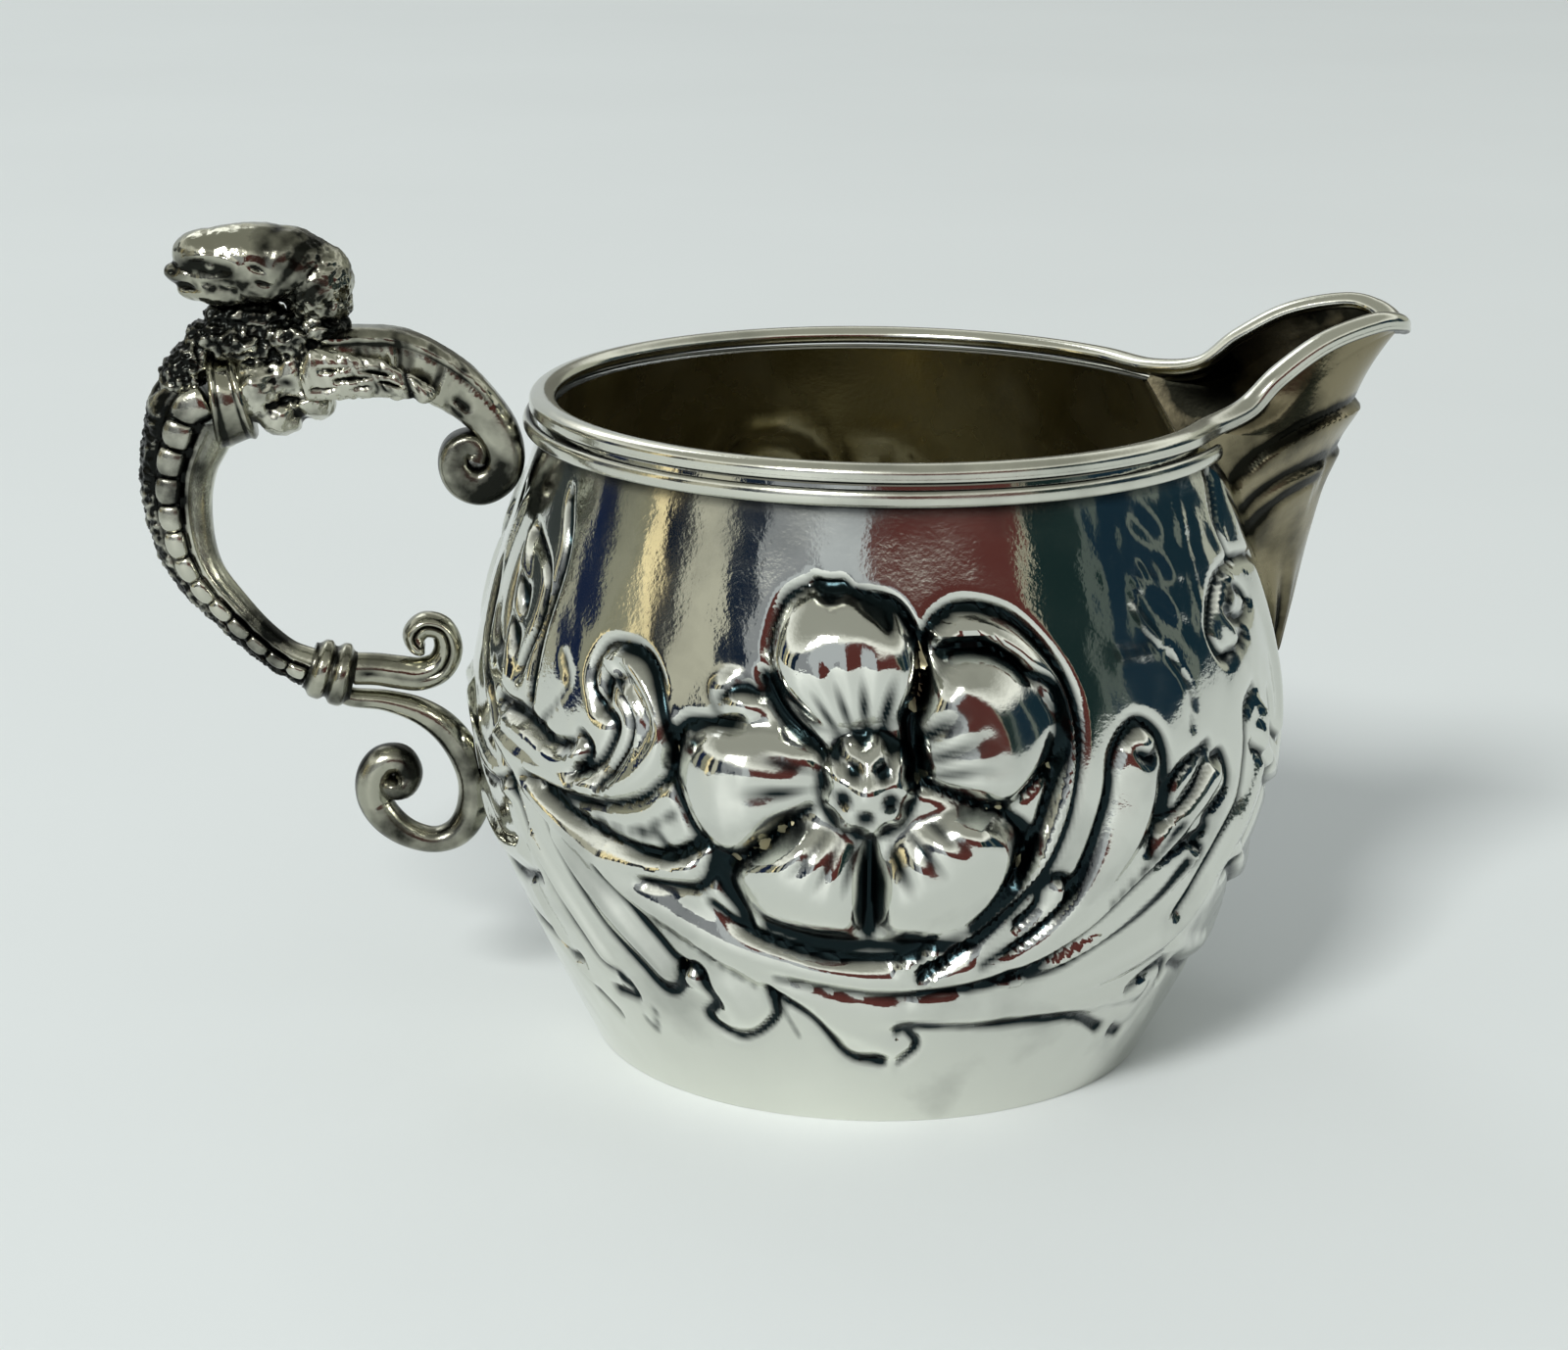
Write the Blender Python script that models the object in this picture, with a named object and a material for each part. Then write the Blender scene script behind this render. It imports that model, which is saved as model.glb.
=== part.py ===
"""Silver cream jug: a chased body sheet on a base disc, an applied spout, a reeded lip wire with a
bead below it, and a cast handle in the form of a beast with scrolls.

Every value is in millimetres until `new_piece` writes a mesh, which Blender holds in metres.
The jug stands on Z = 0 about the Z axis, with its spout towards +X and its handle towards -X.
"""

import math

import bmesh
import bpy
from mathutils import Vector

MM = 0.001
JOINT_GAP = 0.3              # clearance that soldered neighbours keep
TURNED_STEPS = 64            # facets round the jug's axis

# Body
BODY_HEIGHT = 61.0           # resting plane to the top of the lip wire at the back
BASE_RADIUS = 26.0
BELLY_RADIUS = 37.5
BELLY_HEIGHT = 32.0
NECK_RADIUS = 30.6
BASE_SLOPE = 0.5             # how fast the wall leaves the base, radius over height
NECK_SLOPE = -0.25
WALL = 0.9
BASE_PLATE = 0.9

# Lip wire and bead
LIP_WIDTH = 2.6
LIP_HEIGHT = 1.7
LIP_RADIUS = NECK_RADIUS + 0.2
BEAD_DEPTH = 1.3
BEAD_HEIGHT = 1.5
BEAD_TAPER = 10.0            # degrees over which each end of the bead tapers

# Spout
SPOUT_ROOT_ANGLE = 26.0      # half of the notch at the rim, in degrees
SPOUT_DEPTH = 26.5           # rim to the foot of the spout
SPOUT_FOOT_PROUD = 1.2
SPOUT_REACH = 16.8           # lip circle to the lip wire's centre at the tip
SPOUT_TIP_RISE = 6.5         # the tip's lip wire above the lip circle
SPOUT_CREST_RISE = 7.7
SPOUT_SHEET = 0.8
SPOUT_CORNER = 0.6           # share of the spout's rows that lie below the rim

# Handle, drawn as (distance from the axis, height) for a wall through these three points
DRAWN_UPPER_SEAT = (32.2, 54.5)
DRAWN_BELLY = (37.5, 32.0)
DRAWN_LOWER_SEAT = (36.4, 23.5)
UPPER_SEAT_DROP = 6.5        # rim to the upper seat
SEAT_SPACING = 31.0          # upper seat to lower seat
HANDLE_THICKNESS = 1.0       # scale of every casting across the handle's plane

BRIGHT = (0.80, 0.80, 0.78)
OXIDISED = (0.42, 0.39, 0.33)


def wall_radius(z):
    """Outer radius of the body: two cubic arcs that meet upright at the belly."""
    top = BODY_HEIGHT - LIP_HEIGHT
    if z < BELLY_HEIGHT:
        t = z / BELLY_HEIGHT
        start, end = BASE_RADIUS, BELLY_RADIUS
        bend = BASE_SLOPE * BELLY_HEIGHT * (t ** 3 - 2 * t ** 2 + t)
    else:
        t = (z - BELLY_HEIGHT) / (top - BELLY_HEIGHT)
        start, end = BELLY_RADIUS, NECK_RADIUS
        bend = NECK_SLOPE * (top - BELLY_HEIGHT) * (t ** 3 - t ** 2)
    return start + (end - start) * (3 * t ** 2 - 2 * t ** 3) + bend


def spline(points, steps):
    """Points of a smooth curve through the given ones, with equal steps in each span."""
    first = [2 * a - b for a, b in zip(points[0], points[1])]
    last = [2 * a - b for a, b in zip(points[-1], points[-2])]
    ends = [first, *points, last]
    curve = []
    for k in range(1, len(ends) - 2):
        p0, p1, p2, p3 = ends[k - 1:k + 3]
        for step in range(steps):
            t = step / steps
            curve.append(tuple(
                0.5 * (2 * b + (c - a) * t + (2 * a - 5 * b + 4 * c - d) * t ** 2
                       + (3 * b - a - 3 * c + d) * t ** 3)
                for a, b, c, d in zip(p0, p1, p2, p3)))
    curve.append(tuple(points[-1]))
    return curve


def silver(name, colour, roughness):
    """A metal material of one colour."""
    material = bpy.data.materials.new(name)
    material.use_nodes = True
    shader = material.node_tree.nodes["Principled BSDF"]
    shader.inputs["Base Color"].default_value = (*colour, 1.0)
    shader.inputs["Metallic"].default_value = 1.0
    shader.inputs["Roughness"].default_value = roughness
    material.diffuse_color = (*colour, 1.0)
    return material


def new_piece(name, vertices, faces, material):
    """One object from a closed mesh given in millimetres."""
    mesh = bpy.data.meshes.new(name)
    mesh.from_pydata([[c * MM for c in v] for v in vertices], [], faces)
    shape = bmesh.new()
    shape.from_mesh(mesh)
    bmesh.ops.recalc_face_normals(shape, faces=shape.faces)
    shape.to_mesh(mesh)
    shape.free()
    mesh.shade_smooth()
    mesh.set_sharp_from_angle(angle=math.radians(50))
    if material:
        mesh.materials.append(material)
    piece = bpy.data.objects.new(name, mesh)
    bpy.context.scene.collection.objects.link(piece)
    return piece


def cut(piece, cutter):
    """Take the cutter's volume out of a piece."""
    cutter.hide_render = True
    cutter.display_type = "WIRE"
    modifier = piece.modifiers.new("cut_" + cutter.name, "BOOLEAN")
    modifier.operation = "DIFFERENCE"
    modifier.solver = "EXACT"
    modifier.object = cutter


def lofted(rings, closed=False):
    """Faces that join rings of equal size, capped at both ends unless the rings close on themselves."""
    count = len(rings[0])
    vertices = [point for ring in rings for point in ring]
    faces = []
    spans = len(rings) if closed else len(rings) - 1
    for k in range(spans):
        a, b = k * count, (k + 1) % len(rings) * count
        for i in range(count):
            j = (i + 1) % count
            faces.append((a + i, a + j, b + j, b + i))
    if not closed:
        faces.append(tuple(reversed(range(count))))
        faces.append(tuple(range(len(vertices) - count, len(vertices))))
    return vertices, faces


def turned(profile):
    """A profile of (radius, height) points, anticlockwise, turned about the Z axis."""
    rings = []
    for k in range(TURNED_STEPS):
        turn = 2 * math.pi * k / TURNED_STEPS
        rings.append([(r * math.cos(turn), r * math.sin(turn), z) for r, z in reversed(profile)])
    return lofted(rings, closed=True)


def heights(low, high, count):
    """Evenly spaced heights, both ends included."""
    return [low + (high - low) * k / (count - 1) for k in range(count)]


# --- body, base disc -------------------------------------------------------------------------

WALL_TOP = BODY_HEIGHT - LIP_HEIGHT - JOINT_GAP
WALL_FOOT = BASE_PLATE + JOINT_GAP
WALL_ROWS = 11


def body_shell(material):
    """The body sheet, open at the top and the foot, before its notch is cut."""
    levels = heights(WALL_FOOT, WALL_TOP, WALL_ROWS)
    outside = [(wall_radius(z), z) for z in levels]
    inside = [(wall_radius(z) - WALL, z) for z in reversed(levels)]
    return new_piece("body_shell", *turned(outside + inside), material)


def base_plate(material):
    """The flat disc that the body stands on."""
    rings = []
    for z in (0.0, BASE_PLATE):
        turns = [2 * math.pi * k / TURNED_STEPS for k in range(TURNED_STEPS)]
        rings.append([(BASE_RADIUS * math.cos(a), BASE_RADIUS * math.sin(a), z) for a in turns])
    return new_piece("base_plate", *lofted(rings), material)


# --- lip wire and bead -----------------------------------------------------------------------

LIP_CENTRE = BODY_HEIGHT - LIP_HEIGHT / 2
RIM_POINTS = 12              # points on each half of the lip circle


def lip_edge():
    """Centre line of the lip wire along one side of the spout, from its root to the tip."""
    root = math.radians(SPOUT_ROOT_ANGLE)
    reach, crest = SPOUT_REACH, SPOUT_CREST_RISE
    side = LIP_RADIUS * math.sin(root)
    shape = (
        (LIP_RADIUS * math.cos(root), side, 0.0),
        (LIP_RADIUS + 0.05 * reach, 0.74 * side, 0.12 * crest),
        (LIP_RADIUS + 0.24 * reach, 0.65 * side, 0.48 * crest),
        (LIP_RADIUS + 0.50 * reach, 0.55 * side, 0.83 * crest),
        (LIP_RADIUS + 0.79 * reach, 0.40 * side, crest),
        (LIP_RADIUS + 0.94 * reach, 0.25 * side, 0.96 * crest),
        (LIP_RADIUS + reach, 0.0, SPOUT_TIP_RISE),
    )
    return [Vector((x, y, LIP_CENTRE + z)) for x, y, z in shape]


def lip_path():
    """Closed centre line of the lip wire: round the rim, then out along the spout and back."""
    root = math.radians(SPOUT_ROOT_ANGLE)
    half = []
    for k in range(RIM_POINTS):
        turn = math.pi + (root - math.pi) * k / RIM_POINTS
        half.append(Vector((LIP_RADIUS * math.cos(turn), LIP_RADIUS * math.sin(turn), LIP_CENTRE)))
    half += lip_edge()
    other = [Vector((p.x, -p.y, p.z)) for p in reversed(half[1:-1])]
    return half + other


def closed_spline(points, steps):
    """A smooth closed curve through the points."""
    wrapped = [points[-2], points[-1], *points, points[0], points[1]]
    return [Vector(p) for p in spline(wrapped, steps)[2 * steps:-steps - 1]]


def wire_rings(path, sections, closed):
    """Rings of (outward, upward) section points carried along a path, upright across it."""
    rings = []
    for k, centre in enumerate(path):
        before = path[k - 1] if closed or k else path[k]
        after = path[(k + 1) % len(path)] if closed or k < len(path) - 1 else path[k]
        along = (after - before).normalized()
        out = along.cross(Vector((0, 0, 1))).normalized()
        up = out.cross(along)
        rings.append([centre + out * a + up * b for a, b in sections[k]])
    return rings


def lip_wire(material):
    """The half-round wire that finishes the rim and both edges of the spout."""
    path = closed_spline(lip_path(), 2)
    path.reverse()
    half, rise = LIP_WIDTH / 2, LIP_HEIGHT / 2
    section = [(-half, -rise), (half, -rise), (half, 0.1 * rise), (0.7 * half, 0.8 * rise),
               (0.0, rise), (-0.7 * half, 0.8 * rise), (-half, 0.1 * rise)]
    rings = wire_rings(path, [section] * len(path), closed=True)
    return new_piece("lip_wire", *lofted(rings, closed=True), material)


BEAD_TOP = BODY_HEIGHT - LIP_HEIGHT - JOINT_GAP
BEAD_STEPS = 60


def rim_bead(material):
    """The half-round bead under the lip wire, with tapered ends at the roots of the spout."""
    path, sections = [], []
    start = SPOUT_ROOT_ANGLE
    centre = BEAD_TOP - BEAD_HEIGHT / 2
    radius = wall_radius(BEAD_TOP - BEAD_HEIGHT) + JOINT_GAP
    for k in range(BEAD_STEPS + 1):
        turn = start + (360 - 2 * start) * k / BEAD_STEPS
        angle = math.radians(turn)
        path.append(Vector((radius * math.cos(angle), radius * math.sin(angle), centre)))
        ends = min(turn - start, 360 - start - turn) / BEAD_TAPER
        size = 0.35 + 0.65 * math.sin(0.5 * math.pi * min(ends, 1.0))
        rise, deep = size * BEAD_HEIGHT / 2, size * BEAD_DEPTH
        sections.append([(0, -rise), (0.55 * deep, -0.9 * rise), (deep, -0.35 * rise),
                         (deep, 0.35 * rise), (0.55 * deep, 0.9 * rise), (0, rise)])
    return new_piece("rim_bead", *lofted(wire_rings(path, sections, closed=False)), material)


# --- spout -----------------------------------------------------------------------------------

SPOUT_ROWS = 20
SPOUT_COLUMNS = 9            # spans from one edge to the prow
SHEET_DROP = LIP_HEIGHT / 2 + JOINT_GAP


def spout_root(share):
    """A point on the seam between the spout and the wall: share 0 at the foot, 1 at the rim."""
    z = WALL_TOP - (SPOUT_DEPTH - LIP_HEIGHT) * (1 - share)
    angle = math.radians(SPOUT_ROOT_ANGLE) * share ** 1.2
    radius = wall_radius(z) - WALL / 2
    return Vector((radius * math.cos(angle), radius * math.sin(angle), z))


def spout_prow(share):
    """A point on the spout's front edge: share 0 at the foot, 1 under the tip."""
    foot = WALL_TOP - (SPOUT_DEPTH - LIP_HEIGHT)
    start = Vector((wall_radius(foot) + SPOUT_FOOT_PROUD, 0, foot))
    tip = Vector((LIP_RADIUS + SPOUT_REACH, 0, LIP_CENTRE + SPOUT_TIP_RISE - SHEET_DROP))
    rise = tip.z - start.z
    lower = start + Vector((3.4, 0, 0.55 * rise))
    upper = tip - Vector((4.4, 0, 0.12 * rise))
    rest = 1 - share
    return (start * rest ** 3 + lower * 3 * rest ** 2 * share
            + upper * 3 * rest * share ** 2 + tip * share ** 3)


def spout_side(share):
    """The upper or rear edge of the spout sheet at a row."""
    if share <= SPOUT_CORNER:
        return spout_root(share / SPOUT_CORNER)
    edge = spline(lip_edge(), 8)
    place = (share - SPOUT_CORNER) / (1 - SPOUT_CORNER) * (len(edge) - 1)
    k = min(int(place), len(edge) - 2)
    point = Vector(edge[k]).lerp(Vector(edge[k + 1]), place - k)
    return point - Vector((0, 0, SHEET_DROP))


def spout_rows(shares, grow=0.0):
    """Rows of the spout's outer face, each from its +Y edge round the prow to its -Y edge."""
    rows = []
    for share in shares:
        side, prow = spout_side(share), spout_prow(share)
        row = []
        for k in range(2 * SPOUT_COLUMNS + 1):
            turn = 0.5 * math.pi * k / SPOUT_COLUMNS
            across = math.cos(turn)
            forward = math.sin(turn)
            y = math.copysign((side.y + grow) * abs(across) ** 1.15, across)
            x = side.x + (prow.x + grow - side.x) * forward
            row.append(Vector((x, y, side.z + (prow.z - side.z) * forward)))
        rows.append(row)
    return rows


def sheet_offset(rows, distance):
    """The same grid moved against its own normals."""
    moved = []
    for i, row in enumerate(rows):
        up, down = rows[min(i + 1, len(rows) - 1)], rows[max(i - 1, 0)]
        line = []
        for k, point in enumerate(row):
            across = row[min(k + 1, len(row) - 1)] - row[max(k - 1, 0)]
            normal = (up[k] - down[k]).cross(across)
            line.append(point - normal.normalized() * distance)
        moved.append(line)
    return moved


def spout(material):
    """The beaked sheet that stands out from the notch in the body."""
    last = 0.965
    rows = spout_rows([0.03 + (last - 0.03) * k / SPOUT_ROWS for k in range(SPOUT_ROWS + 1)])
    inner = sheet_offset(rows, SPOUT_SHEET)
    for line in inner:
        for k, point in enumerate(line):
            if k < SPOUT_COLUMNS:
                point.y = max(point.y, 0.05 * (SPOUT_COLUMNS - k))
            elif k > SPOUT_COLUMNS:
                point.y = min(point.y, 0.05 * (SPOUT_COLUMNS - k))
            else:
                point.y = 0.0
    rings = [outer + list(reversed(back)) for outer, back in zip(rows, inner)]
    return new_piece("spout", *lofted(rings), material)


def spout_notch():
    """The cutter that opens the wall behind the spout."""
    shares = [SPOUT_CORNER * k / 8 for k in range(9)]
    rings = []
    for row in spout_rows(shares, grow=JOINT_GAP):
        back = 2 * WALL
        first, last = row[0], row[-1]
        rings.append([Vector((first.x - back, first.y, first.z)), *row,
                      Vector((last.x - back, last.y, last.z))])
    rings[0] = [p - Vector((0, 0, JOINT_GAP)) for p in rings[0]]
    rings.append([p + Vector((0, 0, 3 * WALL)) for p in rings[-1]])
    return new_piece("spout_notch", *lofted(rings), None)


# --- handle ----------------------------------------------------------------------------------

ROD_SIDES = 10


def handle_point(reach, z, y=0.0):
    """Carry a drawn point of the handle outwards with the wall, and to the height of its seats."""
    (upper_reach, upper_z), (belly_reach, belly_z) = DRAWN_UPPER_SEAT, DRAWN_BELLY
    lower_reach, lower_z = DRAWN_LOWER_SEAT
    upper = BODY_HEIGHT - UPPER_SEAT_DROP
    shift_upper = wall_radius(upper) - upper_reach
    shift_belly = BELLY_RADIUS - belly_reach
    shift_lower = wall_radius(upper - SEAT_SPACING) - lower_reach
    if z > belly_z:
        share = min((z - belly_z) / (upper_z - belly_z), 1.0)
        shift = shift_belly + (shift_upper - shift_belly) * share
    else:
        share = min((belly_z - z) / (belly_z - lower_z), 1.0)
        shift = shift_belly + (shift_lower - shift_belly) * share
    height = upper - SEAT_SPACING * (upper_z - z) / (upper_z - lower_z)
    return Vector((-(reach + shift), y * HANDLE_THICKNESS, height))


def rod(name, stations, material, roundness=1.0, steps=2):
    """A casting swept in the handle's plane: stations of (reach, height, width, depth).

    Roundness 1 gives an oval section, and less makes it squarer.
    """
    curve = spline(stations, steps)
    rings = []
    for k, (reach, z, width, depth) in enumerate(curve):
        before, after = curve[max(k - 1, 0)], curve[min(k + 1, len(curve) - 1)]
        along = Vector((after[0] - before[0], after[1] - before[1])).normalized()
        ring = []
        for i in range(ROD_SIDES):
            turn = 2 * math.pi * (i + 0.5) / ROD_SIDES
            wide, deep = (math.copysign(abs(c) ** roundness, c)
                          for c in (math.cos(turn), math.sin(turn)))
            off = 0.5 * width * wide
            ring.append(handle_point(reach - along.y * off, z + along.x * off, 0.5 * depth * deep))
        rings.append(ring)
    return new_piece(name, *lofted(rings), material)


def pillow(name, outline, depth, middle, material):
    """A casting with a drawn outline, rounded towards both of its faces."""
    centre = (sum(p[0] for p in outline) / len(outline), sum(p[1] for p in outline) / len(outline))
    rings = []
    for level, size in ((-1, 0.66), (-0.85, 0.88), (-0.5, 1.0), (0.5, 1.0), (0.85, 0.88), (1, 0.66)):
        rings.append([handle_point(centre[0] + (reach - centre[0]) * size,
                                   centre[1] + (z - centre[1]) * size,
                                   middle + 0.5 * depth * level) for reach, z in outline])
    return new_piece(name, *lofted(rings), material)


TAIL = ((52.5, 35.6, 3.6, 3.4), (54.5, 36.5, 3.3, 3.4), (57.0, 38.6, 3.4, 3.6), (59.4, 41.2, 3.8, 4.0),
        (61.6, 43.9, 4.4, 4.5), (62.9, 46.6, 5.2, 5.0), (63.5, 49.4, 5.8, 5.4), (63.7, 52.2, 6.4, 5.8),
        (63.4, 54.9, 7.0, 6.2), (62.7, 57.2, 7.8, 6.5), (61.8, 59.2, 8.6, 6.7), (60.5, 59.9, 8.6, 6.8))
BELT = ((60.1, 59.95, 8.4, 7.4), (59.0, 60.5, 8.0, 7.8), (58.3, 60.9, 7.4, 7.8), (57.7, 61.1, 7.0, 7.6))
TORSO = ((55.6, 57.4), (56.6, 60.8), (57.7, 64.6), (58.0, 65.3), (61.0, 65.2), (62.9, 65.2), (61.6, 66.8),
         (60.4, 67.8), (57.4, 68.5), (52.6, 67.3), (52.3, 63.5), (51.9, 60.1), (50.6, 59.3), (51.4, 58.0),
         (53.4, 57.2))
HEAD = ((63.9, 71.9), (63.3, 73.6), (62.3, 75.3), (60.4, 76.2), (58.3, 76.5), (56.1, 76.3),
        (53.6, 75.7), (51.4, 74.7), (49.7, 73.6), (48.5, 72.0), (47.8, 70.1), (47.8, 68.4), (49.2, 67.8),
        (52.6, 68.0), (57.4, 69.3), (60.6, 68.9), (61.4, 69.6), (63.0, 70.4))
ARM = ((51.5, 63.5, 6.4, 5.0), (49.2, 63.8, 6.3, 5.0), (46.6, 64.1, 6.1, 5.0), (43.6, 63.9, 5.8, 5.0),
       (40.9, 62.9, 5.2, 5.0), (38.3, 61.3, 4.4, 5.0), (36.0, 59.4, 3.6, 5.0), (34.4, 57.4, 2.9, 5.0),
       (33.7, 55.2, 2.7, 5.0), (34.2, 53.2, 2.8, 4.8), (36.2, 51.8, 2.9, 4.6), (38.2, 52.5, 2.7, 4.4),
       (39.2, 54.4, 2.5, 4.2), (38.9, 56.4, 2.1, 4.2), (37.6, 57.0, 1.5, 4.2), (37.0, 56.0, 1.4, 4.2),
       (37.0, 55.2, 1.6, 4.6))
WING = ((52.0, 65.4), (51.6, 63.4), (51.0, 61.4), (47.0, 61.3), (43.0, 61.3), (39.6, 60.6), (41.4, 62.4),
        (44.4, 64.4), (48.0, 65.3))
WING_DEPTH = 1.3
COLLAR = ((52.1, 35.5, 4.8, 4.6), (51.4, 35.3, 6.0, 5.8), (50.6, 35.0, 5.2, 5.0), (49.8, 34.8, 6.4, 6.2),
          (49.0, 34.6, 6.4, 6.2), (48.5, 34.5, 4.8, 4.6))
THUMB_SCROLL = ((48.1, 35.2, 3.0, 3.2), (46.2, 35.1, 3.0, 3.2), (44.2, 34.9, 2.9, 3.2),
                (42.0, 34.8, 2.6, 3.2), (40.3, 35.6, 2.4, 3.2), (39.6, 37.2, 2.2, 3.2),
                (40.3, 38.8, 2.0, 3.2), (41.6, 39.1, 1.9, 3.2), (42.3, 38.2, 1.6, 3.4),
                (41.8, 37.5, 1.4, 3.6))
FOOT_SCROLL = ((48.1, 32.4, 1.7, 2.4), (45.4, 32.1, 1.9, 2.6), (42.4, 31.1, 2.4, 2.9),
               (40.0, 29.4, 2.8, 3.1), (38.3, 27.0, 3.0, 3.2), (37.4, 24.2, 3.0, 3.2),
               (37.6, 21.4, 3.0, 3.2), (38.9, 19.3, 2.7, 3.1), (41.0, 18.5, 2.4, 2.9),
               (43.4, 18.9, 2.4, 2.9), (45.3, 20.3, 2.6, 3.0), (46.1, 22.4, 3.6, 4.0),
               (45.5, 24.5, 5.6, 5.2), (44.8, 26.3, 4.2, 4.0), (44.5, 27.3, 1.6, 1.6))


def seat_cutter(top):
    """The body's own outside, grown by the joint gap, that the scrolls are filed to."""
    levels = heights(10.0, BEAD_TOP - BEAD_HEIGHT - 2 * JOINT_GAP, 12)
    profile = [(wall_radius(z) + JOINT_GAP, z) for z in levels]
    outside = wall_radius(BEAD_TOP - BEAD_HEIGHT) + BEAD_DEPTH + 2 * JOINT_GAP
    profile += [(outside, levels[-1]), (outside, top)]
    inside = [(5.0, top), (5.0, levels[0])]
    return new_piece("seat_cutter", *turned(profile + inside), None)


def handle(bright, oxidised):
    """All castings of the handle, from the collar up to the head."""
    rod("handle_tail", TAIL, oxidised)
    rod("handle_belt", BELT, bright)
    pillow("handle_torso", TORSO, 7.4, 0.0, oxidised)
    pillow("handle_head", HEAD, 8.0, 0.0, bright)
    arm = rod("handle_arm", ARM, bright, roundness=0.6)
    side = ARM[0][3] / 2 + JOINT_GAP + WING_DEPTH / 2
    pillow("handle_wing_near", WING, WING_DEPTH, -side, oxidised)
    pillow("handle_wing_far", WING, WING_DEPTH, side, oxidised)
    rod("handle_collar", COLLAR, bright)
    rod("handle_thumb_scroll", THUMB_SCROLL, bright)
    foot = rod("handle_foot_scroll", FOOT_SCROLL, bright)
    cutter = seat_cutter(BODY_HEIGHT + LIP_HEIGHT)
    cut(arm, cutter)
    cut(foot, cutter)


for old in list(bpy.data.objects):
    bpy.data.objects.remove(old)

polished = silver("polished_silver", BRIGHT, 0.12)
darkened = silver("oxidised_silver", OXIDISED, 0.38)
shell = body_shell(polished)
cut(shell, spout_notch())
base_plate(polished)
spout(polished)
lip_wire(polished)
rim_bead(polished)
handle(polished, darkened)
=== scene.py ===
"""Looks of a silver cream jug: a chased body, a fluted spout, reeded wires and a cast beast handle."""

import math

import bpy
import numpy as np
from mathutils import Matrix, Vector, noise


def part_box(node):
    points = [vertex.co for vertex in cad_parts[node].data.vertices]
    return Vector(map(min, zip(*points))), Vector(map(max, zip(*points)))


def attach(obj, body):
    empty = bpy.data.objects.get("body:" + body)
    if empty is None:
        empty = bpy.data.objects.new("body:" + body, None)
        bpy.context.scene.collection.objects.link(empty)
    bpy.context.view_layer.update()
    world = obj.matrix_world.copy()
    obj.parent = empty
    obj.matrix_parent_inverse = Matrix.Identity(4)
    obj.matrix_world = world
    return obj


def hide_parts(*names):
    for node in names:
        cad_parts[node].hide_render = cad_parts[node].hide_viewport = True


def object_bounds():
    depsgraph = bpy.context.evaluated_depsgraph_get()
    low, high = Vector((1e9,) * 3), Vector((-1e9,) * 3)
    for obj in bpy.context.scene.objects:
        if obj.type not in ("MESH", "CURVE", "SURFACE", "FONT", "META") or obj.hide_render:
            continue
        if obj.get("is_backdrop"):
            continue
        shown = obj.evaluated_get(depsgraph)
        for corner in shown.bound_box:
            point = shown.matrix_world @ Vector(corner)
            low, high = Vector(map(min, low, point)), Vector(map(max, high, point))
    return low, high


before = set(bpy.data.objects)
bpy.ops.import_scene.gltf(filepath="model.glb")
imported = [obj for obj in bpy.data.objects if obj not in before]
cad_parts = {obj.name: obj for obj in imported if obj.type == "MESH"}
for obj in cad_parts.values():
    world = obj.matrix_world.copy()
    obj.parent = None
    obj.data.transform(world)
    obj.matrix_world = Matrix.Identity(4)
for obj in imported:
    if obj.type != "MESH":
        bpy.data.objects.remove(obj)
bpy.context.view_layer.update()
bpy.ops.object.select_all(action="DESELECT")

# --- studio -----------------------------------------------------------------------------------
# A pale table top, a soft lamp in front on the left, a weak one behind, and a pale room with dark
# and coloured patches low down all round, which polished silver needs to read.

MM = 0.001
CAMERA_PLACE = Vector((-0.0396, -0.3226, 0.1274))
CAMERA_RIGHT = Vector((0.9956, -0.0925, 0.0116))
CAMERA_UP = Vector((0.0146, 0.2769, 0.9608))
CAMERA_LENS = 83.23
FLOOR_SIZE = 6.0
FLOOR_DROP = 0.02                # millimetres from the jug down to the table
FLOOR_COLOUR = (0.80, 0.84, 0.84)

eye = bpy.data.objects.new("camera", bpy.data.cameras.new("camera"))
bpy.context.scene.collection.objects.link(eye)
turn = Matrix((CAMERA_RIGHT, CAMERA_UP, CAMERA_RIGHT.cross(CAMERA_UP))).transposed()
eye.matrix_world = Matrix.Translation(CAMERA_PLACE) @ turn.to_4x4()
eye.data.lens = CAMERA_LENS
eye.data.clip_start = 0.01
bpy.context.scene.camera = eye
bpy.context.scene.view_settings.view_transform = "Standard"

bpy.ops.mesh.primitive_plane_add(size=FLOOR_SIZE, location=(0, 0, -FLOOR_DROP * MM))
floor = bpy.context.object
floor.name = "table_top"
paint = bpy.data.materials.new("table_paper")
paint.use_nodes = True


def added(tree, kind, output=0, inputs=(), **settings):
    """Add a node, set or link its inputs, and return one of its outputs. A tuple is a colour."""
    node = tree.nodes.new("ShaderNode" + kind)
    for name, value in settings.items():
        setattr(node, name, value)
    for socket, value in dict(inputs).items():
        if isinstance(value, bpy.types.NodeSocket):
            tree.links.new(value, node.inputs[socket])
        else:
            node.inputs[socket].default_value = (*value, 1) if isinstance(value, tuple) else value
    return node.outputs[output]


def maths(tree, operation, *values, clamp=False):
    """The output of a math node."""
    return added(tree, "Math", inputs=enumerate(values), operation=operation, use_clamp=clamp)


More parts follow.
